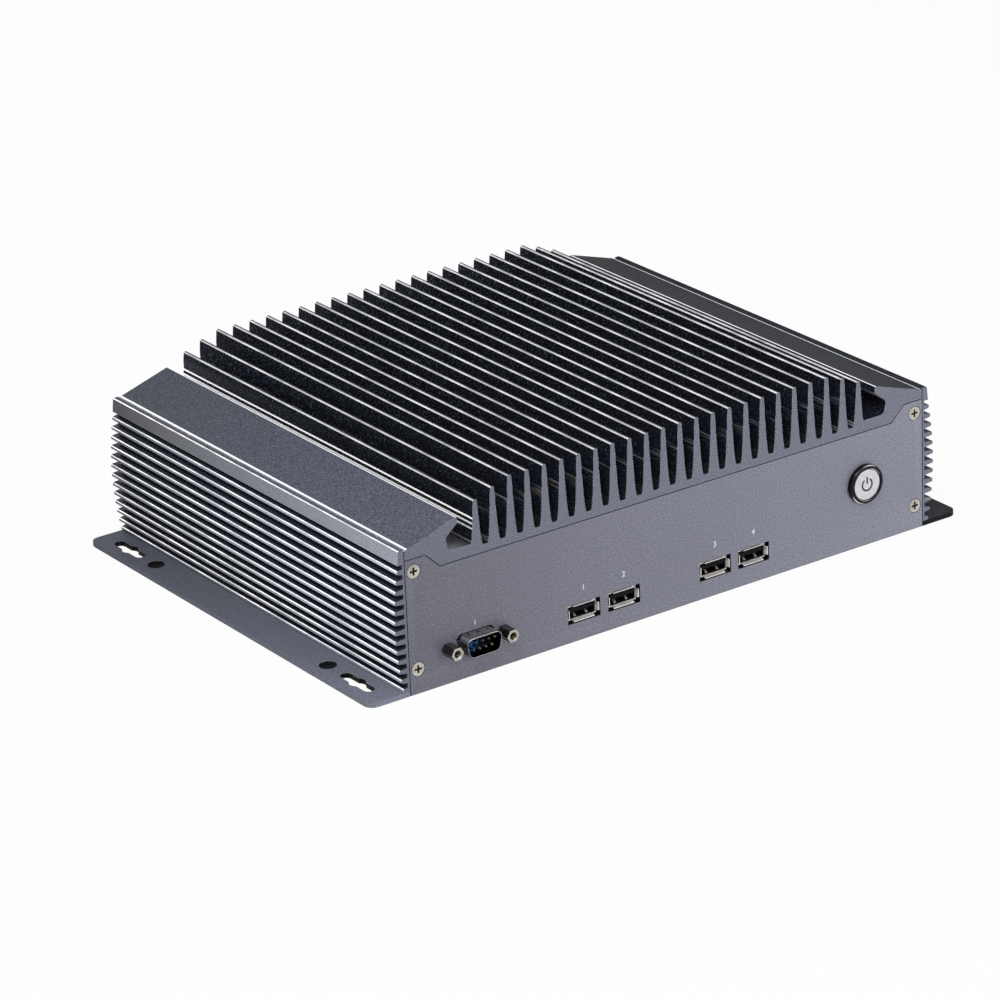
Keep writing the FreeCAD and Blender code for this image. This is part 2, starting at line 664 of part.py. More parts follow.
def make_rear_panel():
    """The rear panel, cut for the ports that stand on the back edge of the board."""
    depth = (REAR_PANEL_FRONT, REAR)
    gap = 2 * CUTOUT_GAP
    lip = 2 * (USB_LIP_REACH + CUTOUT_GAP)
    network_height = BOARD_TOP + NETWORK_SIZE[2] / 2
    display_height = BOARD_TOP + DISPLAY_SIZE[2] / 2
    inlet_height = BOARD_TOP + INLET_SIZE[2] / 2
    holes = [box(spread(x, NETWORK_SIZE[0] + gap), depth, spread(network_height, NETWORK_SIZE[2] + gap))
             for x in NETWORK_XS]
    holes += [box(spread(x, USB_WIDTH + lip), depth, spread(USB_HEIGHT, USB_TALL + lip)) for x in REAR_USB_XS]
    display_width = spread(DISPLAY_X, DISPLAY_SIZE[0] + gap)
    holes.append(box(display_width, depth, spread(display_height, DISPLAY_SIZE[2] + gap)))
    holes.append(box(spread(INLET_X, INLET_SIZE[0] + gap), depth, spread(inlet_height, INLET_SIZE[2] + gap)))
    stem = ANTENNA_RADIUS + SLIP
    holes += [rod_along_y(x, ANTENNA_HEIGHT, stem, REAR_PANEL_FRONT, REAR) for x in ANTENNA_XS]
    return without(turned_to_rear(panel_blank()), holes)


def mounting_slot(x, y):
    """A long slot with a round eye in its middle, so that a screw head can enter and slide either way."""
    half = SLOT_LENGTH / 2 - SLOT_WIDTH / 2
    ends = [rod_along_z(x, y + side * half, SLOT_WIDTH / 2, PLATE_BOTTOM, PLATE_THICKNESS)
            for side in (-1, 1)]
    straight = box(spread(x, SLOT_WIDTH), spread(y, 2 * half), (PLATE_BOTTOM, PLATE_THICKNESS))
    eye = rod_along_z(x, y, SLOT_EYE_RADIUS, PLATE_BOTTOM, PLATE_THICKNESS)
    return fused([straight, eye] + ends)


def rounded_plate():
    """The bottom plate before its holes, with rounded corners."""
    sheet = box(spread(0.0, PLATE_WIDTH), (FRONT, REAR), (PLATE_BOTTOM, PLATE_THICKNESS))
    upright_edges = [edge for edge in sheet.Edges if abs(edge.BoundBox.ZLength - PLATE_THICKNESS) < SLIP
                     and edge.BoundBox.XLength < SLIP]
    return sheet.makeFillet(PLATE_CORNER_RADIUS, upright_edges)


def make_bottom_plate():
    """The floor of the case with a mounting flange along each side."""
    sides = (-1, 1)
    notch_width = 2 * LIP_INNER
    thickness = (PLATE_BOTTOM, PLATE_THICKNESS)
    holes = [box(spread(0.0, notch_width), (FRONT, PANEL_BACK), thickness)]
    holes.append(box(spread(0.0, notch_width), (REAR_PANEL_FRONT, REAR), thickness))
    holes += [mounting_slot(sx * SLOT_X, sy * SLOT_Y) for sx in sides for sy in sides]
    holes += [rod_along_z(sx * SLOT_X, sy * PLUG_HOLE_Y, PLUG_HOLE_RADIUS, PLATE_BOTTOM, PLATE_THICKNESS)
              for sx in sides for sy in sides]
    holes += [plate_countersink(side * PANEL_SCREW_X, y) for side in sides for y in PLATE_SCREW_YS]
    return without(rounded_plate(), holes)


def hole_plug(x, y):
    """A push-in plug that closes a spare flange hole, with a small pry notch in its rim."""
    top = PLATE_THICKNESS - PLUG_RECESS
    disc = rod_along_z(x, y, PLUG_HOLE_RADIUS - SLIP, PLATE_BOTTOM + PLUG_CLEAR_OF_FLOOR, top)
    dish = rod_along_z(x, y, PLUG_HOLE_RADIUS - 0.9, top - 0.5, top)
    notch = rod_along_z(x - 0.4, y - PLUG_HOLE_RADIUS, 1.0, top - 0.5, top)
    return without(disc, [dish, notch])


def make_case():
    """Save the walls of the case."""
    right = make_right_side_heatsink()
    save("top_heatsink", [make_top_heatsink()])
    save("left_side_heatsink", [mirrored(right)])
    save("right_side_heatsink", [right])
    save("front_panel", [make_front_panel()])
    save("rear_panel", [make_rear_panel()])
    save("bottom_plate", [make_bottom_plate()])
    plug_places = corner_points((0.0, 0.0), (SLOT_X, PLUG_HOLE_Y))
    save("mounting_hole_plugs", [hole_plug(x, y) for x, y in plug_places])


def make_case_screws():
    """Save the screws that hold the case together."""
    sides = (-1, 1)
    front = [countersunk_screw(side * PANEL_SCREW_X, z, PANEL_SCREW_LENGTH)
             for side in sides for z in PANEL_SCREW_HEIGHTS]
    save("front_panel_screws", front)
    save("rear_panel_screws", [turned_to_rear(screw) for screw in front])
    save("bottom_plate_screws", [plate_screw(side * PANEL_SCREW_X, y) for side in sides for y in PLATE_SCREW_YS])
    sink_screw_tip = SHOULDER_UNDERSIDE + SINK_SCREW_REACH
    save("top_heatsink_screws", [screw_up(side * SINK_SCREW_X, y, UPPER_RAIL_BOTTOM, sink_screw_tip)
                                 for side in sides for y in SINK_SCREW_YS])


# Front ports

def usb_lip(width, offset):
    """One flared lip above the middle of a socket mouth, standing out from the shell by the lip reach."""
    half = width / 2
    mouth = FRONT + SLIP
    root = mouth + USB_LIP_LENGTH
    corners = [point(0, root, offset), point(0, mouth, offset + USB_LIP_REACH - USB_SHEET),
               point(0, mouth, offset + USB_LIP_REACH), point(0, root + 0.5, offset)]
    flare = outline_prism(corners, point(width, 0, 0))
    flare.translate(point(-half, 0, 0))
    return flare


def usb_shell(x):
    """The folded metal shell of one socket: a square tube with four flared lips and board legs."""
    mouth = FRONT + USB_LIP_LENGTH
    back = FRONT + USB_DEPTH
    tube = box(spread(0.0, USB_WIDTH), (mouth, back), spread(0.0, USB_TALL))
    bore = box(spread(0.0, USB_WIDTH - 2 * USB_SHEET), (mouth, back), spread(0.0, USB_TALL - 2 * USB_SHEET))
    pieces = []
    long_lips = ((0, 9.6, USB_TALL), (180, 9.6, USB_TALL))
    short_lips = ((90, 3.4, USB_WIDTH), (270, 3.4, USB_WIDTH))
    for turn, width, reach in long_lips + short_lips:
        lip = usb_lip(width, reach / 2 - USB_SHEET)
        lip.rotate(point(0, 0, 0), point(0, 1, 0), turn)
        pieces.append(lip)
    drop = USB_HEIGHT - BOARD_TOP
    for side in (-1, 1):
        leg_x = side * (USB_WIDTH - USB_SHEET) / 2
        pieces.append(box(spread(leg_x, USB_SHEET), (back - 6.0, back - 4.0), (-drop, 0.0)))
    shell = without(fused([tube] + pieces), [bore])
    shell.translate(point(x, 0, USB_HEIGHT))
    return shell


def usb_tongue(x):
    """The plastic insert of one socket: a back wall and the contact tongue under the top of the shell."""
    back = FRONT + USB_DEPTH
    wall_front = back - 2.0
    wall = box(spread(x, USB_WIDTH - 2 * USB_SHEET), (wall_front, back),
               spread(USB_HEIGHT, USB_TALL - 2 * USB_SHEET))
    top = USB_HEIGHT + USB_TALL / 2 - USB_SHEET - 0.4
    tongue = box(spread(x, USB_TONGUE_WIDTH), (FRONT + USB_TONGUE_RECESS, wall_front),
                 (top - USB_TONGUE_THICKNESS, top))
    return fused([wall, tongue])


def usb_contacts(x):
    """The four contact strips under one tongue."""
    low = USB_HEIGHT + USB_TALL / 2 - USB_SHEET - 0.4 - USB_TONGUE_THICKNESS
    middle = (USB_CONTACT_COUNT - 1) / 2
    strips = []
    for index in range(USB_CONTACT_COUNT):
        strip_x = x + (index - middle) * USB_CONTACT_PITCH
        strips.append(box(spread(strip_x, 1.0), (FRONT + 2.5, FRONT + 11.0), (low - 0.2, low)))
    return strips


def serial_outline(grow):
    """The trapezium of the serial port seen from the front, grown outwards by a gap."""
    half = SERIAL_WIDTH / 2 + grow
    tall = SERIAL_TALL / 2 + grow
    corner = 1.6
    right = [(half - SERIAL_SLANT - corner, -tall), (half - SERIAL_SLANT, -tall + corner),
             (half, tall - corner), (half - corner, tall)]
    corners = right + [(-x, z) for x, z in reversed(right)]
    return [(SERIAL_X + x, SERIAL_HEIGHT + z) for x, z in corners]


def jackscrew_xs():
    """Where the two jackscrews of the serial port stand."""
    return spread(SERIAL_X, SERIAL_SCREW_SPACING)


def make_serial_shell():
    """The metal shell of the serial port with its mounting flange behind the panel."""
    flange = box(spread(SERIAL_X, SERIAL_FLANGE[0]), (PANEL_BACK, SERIAL_BODY_FRONT),
                 spread(SERIAL_HEIGHT, SERIAL_FLANGE[1]))
    skirt = prism_along_y(serial_outline(0.0), FRONT - SERIAL_PROUD, PANEL_BACK)
    bore = prism_along_y(serial_outline(-SERIAL_SHEET), FRONT - SERIAL_PROUD, SERIAL_BODY_FRONT)
    holes = [rod_along_y(x, SERIAL_HEIGHT, JACK_SHANK_RADIUS + SLIP, PANEL_BACK, SERIAL_BODY_FRONT)
             for x in jackscrew_xs()]
    return without(fused([flange, skirt]), [bore] + holes)


def make_serial_insulator():
    """The plastic body of the serial port, standing on the front edge of the board."""
    face = FRONT - 0.5
    front_block = prism_along_y(serial_outline(-SERIAL_SHEET - SLIP), face, SERIAL_BODY_FRONT)
    top = SERIAL_HEIGHT + SERIAL_FLANGE[1] / 2
    body = box(spread(SERIAL_X, SERIAL_FLANGE[0]), (SERIAL_BODY_FRONT, SERIAL_BODY_BACK), (BOARD_TOP, top))
    middle = SERIAL_BODY_FRONT + SERIAL_BODY_DEPTH / 2
    bolt_room = [rod_along_y(x, SERIAL_HEIGHT, JACK_SHANK_RADIUS + SLIP, SERIAL_BODY_FRONT, middle)
                 for x in jackscrew_xs()]
    pins = [rod_along_y(x, z, PIN_RADIUS, face, middle) for x, z in serial_pin_places()]
    return without(fused([front_block, body]), bolt_room + pins)


def serial_pin_places():
    """Where the nine pins stand: five above four."""
    places = []
    for count, z in ((5, SERIAL_HEIGHT + PIN_ROW_OFFSET), (4, SERIAL_HEIGHT - PIN_ROW_OFFSET)):
        for index in range(count):
            places.append((SERIAL_X + (index - (count - 1) / 2) * PIN_PITCH, z))
    return places


def serial_pin(x, z):
    """One round contact pin with a rounded end."""
    tip = FRONT - SERIAL_PROUD + 1.0
    shaft = rod_along_y(x, z, PIN_RADIUS, tip + PIN_RADIUS, SERIAL_BODY_FRONT + SERIAL_BODY_DEPTH / 2)
    nose = Part.makeCone(PIN_RADIUS * 0.4, PIN_RADIUS, PIN_RADIUS, point(x, tip, z), point(0, 1, 0))
    return fused([shaft, nose])


def jackscrew(x):
    """A six-sided threaded socket that holds the port to the panel and takes the screw of a plug."""
    head = prism_along_y(hexagon(x, SERIAL_HEIGHT, JACK_ACROSS_FLATS), FRONT - JACK_PROUD, FRONT)
    shank_end = SERIAL_BODY_FRONT + SERIAL_BODY_DEPTH / 2 - 0.5
    shank = rod_along_y(x, SERIAL_HEIGHT, JACK_SHANK_RADIUS, FRONT, shank_end)
    bore = rod_along_y(x, SERIAL_HEIGHT, JACK_BORE_RADIUS, FRONT - JACK_PROUD, FRONT - 0.5)
    ring = Part.makeCone(JACK_BORE_RADIUS + 0.35, JACK_BORE_RADIUS, 0.35,
                         point(x, FRONT - JACK_PROUD, SERIAL_HEIGHT), point(0, 1, 0))
    return without(fused([head, shank]), [bore, ring])


def make_front_ports():
    """Save the sockets on the front panel."""
    for number, x in enumerate(USB_XS, start=1):
        save("front_usb_shell_%d" % number, [usb_shell(x)])
    save("front_usb_contacts", [strip for x in USB_XS for strip in usb_contacts(x)])
    save("serial_port_shell", [make_serial_shell()])
    save("serial_port_insulator", [make_serial_insulator()])
    save("serial_port_pins", [serial_pin(x, z) for x, z in serial_pin_places()])
    save("serial_port_jackscrews", [jackscrew(x) for x in jackscrew_xs()])


# Power button


def button_rod(radius, y_start, y_end):
    """A round bar on the axis of the power button."""
    return rod_along_y(BUTTON_X, BUTTON_HEIGHT, radius, y_start, y_end)


def make_bezel():
    """The bezel ring and threaded barrel in one piece, with an inner lip that holds the cap in."""
    edge = Part.makeCone(BEZEL_RADIUS - BEZEL_CHAMFER, BEZEL_RADIUS, BEZEL_CHAMFER,
                         point(BUTTON_X, BEZEL_FACE, BUTTON_HEIGHT), point(0, 1, 0))
    ring = button_rod(BEZEL_RADIUS, BEZEL_FACE + BEZEL_CHAMFER, FRONT)
    barrel = button_rod(BARREL_RADIUS, FRONT, BARREL_BACK)
    mouth = button_rod(LIP_RADIUS, BEZEL_FACE, LIP_BACK)
    bore = button_rod(BARREL_BORE, LIP_BACK, BARREL_BACK)
    return without(fused([edge, ring, barrel]), [mouth, bore])


def symbol_inlay():
    """The on and off symbol: a broken ring with an upright bar in the gap."""
    back = CAP_FACE + SYMBOL_DEPTH
    outer = button_rod(SYMBOL_RADIUS, CAP_FACE, back)
    inner = button_rod(SYMBOL_RADIUS - SYMBOL_LINE, CAP_FACE, back)
    reach = SYMBOL_RADIUS * 1.5
    spread_x = reach * math.tan(math.radians(SYMBOL_GAP_ANGLE / 2))
    wedge = prism_along_y([(BUTTON_X, BUTTON_HEIGHT), (BUTTON_X + spread_x, BUTTON_HEIGHT + reach),
                           (BUTTON_X - spread_x, BUTTON_HEIGHT + reach)], CAP_FACE, back)
    ring = without(outer, [inner, wedge])
    bar = box(spread(BUTTON_X, SYMBOL_LINE), (CAP_FACE, back),
              (BUTTON_HEIGHT + 0.3, BUTTON_HEIGHT + SYMBOL_RADIUS + 0.4))
    return [ring, bar]


def make_button_cap():
    """The cap that the finger presses, with a shoulder behind the lip and a stem to the switch."""
    face = button_rod(LIP_RADIUS - SLIDE_GAP, CAP_FACE, LIP_BACK)
    shoulder = button_rod(CAP_SHOULDER, LIP_BACK, SHOULDER_BACK)
    stem = button_rod(STEM_RADIUS, SHOULDER_BACK, STEM_END)
    return without(fused([face, shoulder, stem]), symbol_inlay())


def make_spring():
    """The return spring, drawn at its pressed length."""
    free_end = SHOULDER_BACK + BUTTON_TRAVEL + BUTTON_END_GAP
    length = SWITCH_FACE - free_end - 2 * SPRING_WIRE
    pitch = length / SPRING_TURNS
    helix = Part.makeHelix(pitch, length, SPRING_RADIUS)
    section = Part.makePolygon([point(SPRING_RADIUS + a, 0, b) for a, b in
                                [(SPRING_WIRE, 0), (0, SPRING_WIRE), (-SPRING_WIRE, 0), (0, -SPRING_WIRE),
                                 (SPRING_WIRE, 0)]])
    coil = Part.Wire(helix).makePipeShell([section], True, True)
    coil.rotate(point(0, 0, 0), point(1, 0, 0), -90.0)
    coil.translate(point(BUTTON_X, free_end + SPRING_WIRE, BUTTON_HEIGHT))
    return coil


def make_nut():
    """The thin nut that clamps the barrel against the back of the panel."""
    corners = hexagon(BUTTON_X, BUTTON_HEIGHT, NUT_ACROSS_FLATS)
    nut = prism_along_y(corners, PANEL_BACK, PANEL_BACK + NUT_THICKNESS)
    return without(nut, [button_rod(BARREL_RADIUS + SLIP, PANEL_BACK, PANEL_BACK + NUT_THICKNESS)])


def terminal_places():
    """Where the two switch terminals stand."""
    return [(x, BUTTON_HEIGHT) for x in spread(BUTTON_X, TERMINAL_SPACING)]


def terminal_blades(y_start, y_end):
    """The two flat switch terminals between two places."""
    wide, thick = TERMINAL_SECTION
    return [box(spread(x, wide), (y_start, y_end), spread(z, thick)) for x, z in terminal_places()]


def make_switch():
    """The switch block that closes the back of the barrel."""
    front = button_rod(BARREL_BORE - SLIP, SWITCH_FACE, BARREL_BACK)
    back = button_rod(BARREL_RADIUS, BARREL_BACK, SWITCH_BACK)
    boss = button_rod(STEM_RADIUS, STEM_END + BUTTON_TRAVEL + BUTTON_END_GAP, SWITCH_FACE)
    return without(fused([front, back, boss]), terminal_blades(SWITCH_BACK - TERMINAL_ROOT, SWITCH_BACK))


def cable_path(places, radius):
    """A tube along straight runs joined by arcs that touch both runs."""
    vectors = [point(*place) for place in places]
    edges = []
    start = vectors[0]
    for before, corner, after in zip(vectors, vectors[1:], vectors[2:]):
        run_in = corner - before
        run_out = after - corner
        turn = run_in.getAngle(run_out)
        bend = 0.45 * min(run_in.Length, run_out.Length)
        inward = run_in.normalize()
        outward = run_out.normalize()
        arc_start = corner - inward * bend
        arc_end = corner + outward * bend
        bend_radius = bend / math.tan(turn / 2)
        centre_way = (outward - inward).normalize()
        middle = corner + centre_way * (bend_radius / math.cos(turn / 2) - bend_radius)
        edges.append(Part.LineSegment(start, arc_start).toShape())
        edges.append(Part.Arc(arc_start, middle, arc_end).toShape())
        start = arc_end
        print("cable bend radius %.1f, tube radius %.1f" % (bend_radius, radius))
    edges.append(Part.LineSegment(start, vectors[-1]).toShape())
    spine = Part.Wire(edges)
    circle = Part.Wire(Part.makeCircle(radius, vectors[0], vectors[1] - vectors[0]))
    return spine.makePipeShell([circle], True, True)


def make_button_lead():
    """The two wires from the switch plug to the board header."""
    header_top = BOARD_TOP + BUTTON_HEADER_HEIGHT
    wires = []
    for x in spread(BUTTON_X, WIRE_SPACING):
        route = [(x, BUTTON_PLUG_BACK, BUTTON_HEIGHT), (x, BUTTON_HEADER_Y, BUTTON_HEIGHT),
                 (x, BUTTON_HEADER_Y, header_top)]
        wires.append(cable_path(route, WIRE_RADIUS))
    return wires


def make_button_plugs():
    """The plug over the switch terminals and the plug on the board."""
    over_terminals = box(spread(BUTTON_X, 9.0), (SWITCH_BACK, BUTTON_PLUG_BACK), spread(BUTTON_HEIGHT, 4.0))
    sockets = terminal_blades(SWITCH_BACK, TERMINAL_END)
    on_board = box(spread(BUTTON_X, 7.0), spread(BUTTON_HEADER_Y, 5.0),
                   (BOARD_TOP, BOARD_TOP + BUTTON_HEADER_HEIGHT))
    return [without(over_terminals, sockets), on_board]


def make_power_button():
    """Save the pieces of the power button."""
    save("power_button_bezel", [make_bezel()])
    save("power_button_cap", [make_button_cap()])
    save("power_button_symbol", symbol_inlay())
    save("power_button_spring", [make_spring()])
    save("power_button_nut", [make_nut()])
    save("power_button_switch", [make_switch()])
    save("power_button_terminals", terminal_blades(SWITCH_BACK - TERMINAL_ROOT, TERMINAL_END))
    save("power_button_lead", make_button_lead())
    save("power_button_plugs", make_button_plugs())


# Electronics inside

def tray_post_places():
    """Where the posts under the drive tray stand."""
    offset = (TRAY_SIZE[0] / 2 - TRAY_POST_INSET[0], TRAY_SIZE[1] / 2 - TRAY_POST_INSET[1])
    return corner_points((TRAY_X, TRAY_Y), offset)


def card_post_places():
    """Where the posts under the free ends of the two cards stand."""
    ssd_end = SSD_SOCKET_Y + CARD_GRIP - SSD_LENGTH
    wireless_end = WIRELESS_SOCKET_Y + CARD_GRIP - WIRELESS_LENGTH
    return [(SSD_X, ssd_end + CARD_HOLE_INSET), (WIRELESS_X, wireless_end + CARD_HOLE_INSET)]


def make_motherboard():
    """The main board with its fixing holes."""
    sheet = box(spread(0.0, BOARD_WIDTH), spread(0.0, BOARD_DEPTH), (BOARD_UNDERSIDE, BOARD_TOP))
    places = list(BOARD_HOLES) + tray_post_places()
    return without(sheet, [screw_hole(x, y, BOARD_UNDERSIDE, BOARD_TOP) for x, y in places])


def make_board():
    """Save the main board and what holds it."""
    save("motherboard", [make_motherboard()])
    save("board_standoffs", [post(x, y, PLATE_THICKNESS, BOARD_UNDERSIDE) for x, y in BOARD_HOLES])
    tip = PLATE_THICKNESS + 0.5
    save("board_screws", [screw_down(x, y, BOARD_TOP, tip) for x, y in BOARD_HOLES])


def make_heat_block():
    """The block that carries heat from the processor up to the top heatsink."""
    bottom = BOARD_TOP + PROCESSOR_THICKNESS + PAD_THICKNESS
    flange_bottom = BASE_UNDERSIDE - BLOCK_FLANGE_THICKNESS
    column = box(spread(PROCESSOR_X, BLOCK_SIZE), spread(PROCESSOR_Y, BLOCK_SIZE), (bottom, flange_bottom))
    flange = box(spread(PROCESSOR_X, BLOCK_FLANGE_SIZE), spread(PROCESSOR_Y, BLOCK_FLANGE_SIZE),
                 (flange_bottom, BASE_UNDERSIDE))
    holes = [screw_hole(x, y, flange_bottom, BASE_UNDERSIDE) for x, y in block_screw_places()]
    return without(fused([column, flange]), holes)


def make_processor():
    """The processor package: a thin carrier with a raised lid."""
    carrier_top = BOARD_TOP + PROCESSOR_THICKNESS / 2
    carrier = box(spread(PROCESSOR_X, PROCESSOR_SIZE), spread(PROCESSOR_Y, PROCESSOR_SIZE),
                  (BOARD_TOP, carrier_top))
    lid = box(spread(PROCESSOR_X, PROCESSOR_LID_SIZE), spread(PROCESSOR_Y, PROCESSOR_LID_SIZE),
              (carrier_top, BOARD_TOP + PROCESSOR_THICKNESS))
    return fused([carrier, lid])


def make_cooling():
    """Save the processor and the solid path for its heat."""
    lid_top = BOARD_TOP + PROCESSOR_THICKNESS
    pad_heights = (lid_top, lid_top + PAD_THICKNESS)
    save("processor", [make_processor()])
    save("processor_thermal_pad", [box(spread(PROCESSOR_X, PROCESSOR_LID_SIZE),
                                       spread(PROCESSOR_Y, PROCESSOR_LID_SIZE), pad_heights)])
    save("heat_block", [make_heat_block()])
    seat = BASE_UNDERSIDE - BLOCK_FLANGE_THICKNESS
    save("heat_block_screws", [screw_up(x, y, seat, BASE_UNDERSIDE + BLOCK_SCREW_REACH)
                               for x, y in block_screw_places()])


def make_memory():
    """Save the memory module and its socket, which lie flat on the board."""
    module_low = BOARD_TOP + MEMORY_LIFT
    module_high = module_low + MEMORY_THICKNESS
    module_start = MEMORY_SOCKET_X + MEMORY_SOCKET_DEPTH - MEMORY_GRIP
    module_end = module_start + MEMORY_REACH
    socket_heights = (BOARD_TOP, BOARD_TOP + MEMORY_SOCKET_TALL)
    arm_offset = (MEMORY_WIDTH + MEMORY_ARM_THICKNESS) / 2 + SLIP
    housing_width = 2 * arm_offset + MEMORY_ARM_THICKNESS
    housing = box((MEMORY_SOCKET_X, MEMORY_SOCKET_X + MEMORY_SOCKET_DEPTH), spread(MEMORY_Y, housing_width),
                  socket_heights)
    arms = [box((MEMORY_SOCKET_X, module_end - 4.0),
                spread(MEMORY_Y + side * arm_offset, MEMORY_ARM_THICKNESS),
                socket_heights) for side in (-1, 1)]
    sheet = box((module_start, module_end), spread(MEMORY_Y, MEMORY_WIDTH), (module_low, module_high))
    save("memory_socket", [without(fused([housing] + arms), [sheet])])
    chip_pitch = MEMORY_WIDTH / (MEMORY_CHIP_COUNT + 0.25)
    long_side, short_side, chip_height = MEMORY_CHIP
    chips = []
    for row in range(MEMORY_CHIP_COUNT):
        chip_y = MEMORY_Y + (row - (MEMORY_CHIP_COUNT - 1) / 2) * chip_pitch
        chip_xs = (module_end - 6.0 - long_side, module_end - 6.0)
        chips.append(box(chip_xs, spread(chip_y, short_side), (module_high, module_high + chip_height)))
    save("memory_module", [fused([sheet] + chips)])


def card_socket(x, y):
    """An edge socket whose slot faces the front of the case."""
    slot_low = BOARD_TOP + CARD_LIFT
    housing = box(spread(x, CARD_WIDTH), (y, y + CARD_SOCKET_DEPTH),
                  (BOARD_TOP, BOARD_TOP + CARD_SOCKET_TALL))
    slot = box(spread(x, CARD_WIDTH - 2.0), (y, y + CARD_GRIP), (slot_low, slot_low + CARD_THICKNESS))
    return without(housing, [slot])


def expansion_card(x, y, length, chip_places):
    """A narrow card held in its socket, with chips on top and a screw hole at its free end."""
    low = BOARD_TOP + CARD_LIFT
    high = low + CARD_THICKNESS
    edge = y + CARD_GRIP
    sheet = box(spread(x, CARD_WIDTH), (edge - length, y), (low, high))
    tab = box(spread(x, CARD_WIDTH - 2.0), (y, edge), (low, high))
    chip_width, chip_height = CARD_CHIP
    chips = [box(spread(x, chip_width), spread(edge - place, size), (high, high + chip_height))
             for place, size in chip_places]
    hole = screw_hole(x, edge - length + CARD_HOLE_INSET, low, high)
    return without(fused([sheet, tab] + chips), [hole])


def make_cards():
    """Save the solid-state drive and the wireless card with their sockets and screws."""
    drive_chips = ((20.0, 16.0), (42.0, 18.0), (64.0, 18.0))
    save("solid_state_drive", [expansion_card(SSD_X, SSD_SOCKET_Y, SSD_LENGTH, drive_chips)])
    save("wireless_card", [expansion_card(WIRELESS_X, WIRELESS_SOCKET_Y, WIRELESS_LENGTH, ((14.0, 14.0),))])
    save("card_sockets", [card_socket(SSD_X, SSD_SOCKET_Y), card_socket(WIRELESS_X, WIRELESS_SOCKET_Y)])
    low = BOARD_TOP + CARD_LIFT
    save("card_posts", [post(x, y, BOARD_TOP, low) for x, y in card_post_places()])
    tip = BOARD_TOP + 0.2
    save("card_screws", [screw_down(x, y, low + CARD_THICKNESS, tip) for x, y in card_post_places()])


def make_small_parts():
    """Save the clock battery, the chokes and the capacitors."""
    holder_top = BOARD_TOP + COIN_HOLDER[2]
    holder = box(spread(COIN_X, COIN_HOLDER[0]), spread(COIN_Y, COIN_HOLDER[1]), (BOARD_TOP, holder_top))
    cell_low = BOARD_TOP + COIN_LIFT
    pocket = rod_along_z(COIN_X, COIN_Y, COIN_RADIUS + SLIP, cell_low, holder_top)
    save("coin_cell_holder", [without(holder, [pocket])])
    save("coin_cell", [rod_along_z(COIN_X, COIN_Y, COIN_RADIUS, cell_low, cell_low + COIN_THICKNESS)])
    chokes = []
    for index in range(CHOKE_COUNT):
        choke_x = PROCESSOR_X + (index - (CHOKE_COUNT - 1) / 2) * CHOKE_PITCH
        chokes.append(box(spread(choke_x, CHOKE_SIZE), spread(CHOKE_Y, CHOKE_SIZE),
                          (BOARD_TOP, BOARD_TOP + CHOKE_TALL)))
    save("power_chokes", chokes)
    save("capacitors", [rod_along_z(x, CAPACITOR_Y, CAPACITOR_RADIUS, BOARD_TOP, BOARD_TOP + CAPACITOR_TALL)
                        for x in CAPACITOR_XS])


def drive_screw_places():
    """Where the screws between the tray and the drive stand."""
    offset = (DRIVE_SIZE[0] / 2 - DRIVE_HOLE_INSET[0], DRIVE_SIZE[1] / 2 - DRIVE_HOLE_INSET[1])
    return corner_points((TRAY_X, TRAY_Y), offset)


def make_tray():
    """The sheet tray that carries the storage drive."""
    sheet = box(spread(TRAY_X, TRAY_SIZE[0]), spread(TRAY_Y, TRAY_SIZE[1]), (TRAY_UNDERSIDE, TRAY_TOP))
    places = tray_post_places() + drive_screw_places()
    window = box(spread(TRAY_X, TRAY_WINDOW[0]), spread(TRAY_Y, TRAY_WINDOW[1]), (TRAY_UNDERSIDE, TRAY_TOP))
    return without(sheet, [screw_hole(x, y, TRAY_UNDERSIDE, TRAY_TOP) for x, y in places] + [window])


def make_storage():
    """Save the storage drive with its tray, posts, screws and cable."""
    drive = box(spread(TRAY_X, DRIVE_SIZE[0]), spread(TRAY_Y, DRIVE_SIZE[1]),
                (TRAY_TOP, TRAY_TOP + DRIVE_SIZE[2]))
    hole_top = TRAY_TOP + DRIVE_SCREW_REACH + 2 * SLIP
    drive_holes = [screw_hole(x, y, TRAY_TOP, hole_top) for x, y in drive_screw_places()]
    save("storage_drive", [without(drive, drive_holes)])
    save("drive_tray", [make_tray()])
    save("drive_tray_posts", [post(x, y, BOARD_TOP, TRAY_UNDERSIDE) for x, y in tray_post_places()])
    tray_screws = [screw_down(x, y, TRAY_TOP, TRAY_TOP - 6.0) for x, y in tray_post_places()]
    drive_screws = [screw_up(x, y, TRAY_UNDERSIDE, TRAY_TOP + DRIVE_SCREW_REACH)
                    for x, y in drive_screw_places()]
    save("drive_tray_screws", tray_screws + drive_screws)
    drive_front = TRAY_Y - DRIVE_SIZE[1] / 2
    plug_front = drive_front - DRIVE_PLUG_SIZE[1]
    middle = TRAY_TOP + DRIVE_SIZE[2] / 2
    header_top = BOARD_TOP + DRIVE_HEADER[2]
    header_y = plug_front - DRIVE_CABLE_RUN
    cable_x = TRAY_X - DRIVE_CABLE_OFFSET
    on_drive = box(spread(TRAY_X, DRIVE_PLUG_SIZE[0]), (plug_front, drive_front),
                   spread(middle, DRIVE_PLUG_SIZE[2]))
    on_board = box(spread(cable_x, DRIVE_HEADER[0]), spread(header_y, DRIVE_HEADER[1]),
                   (BOARD_TOP, header_top))
    save("drive_cable_plugs", [on_drive, on_board])
    route = [(cable_x, plug_front, middle), (cable_x, header_y, middle), (cable_x, header_y, header_top)]
    save("drive_cable", [cable_path(route, DRIVE_CABLE_RADIUS)])


# Rear ports

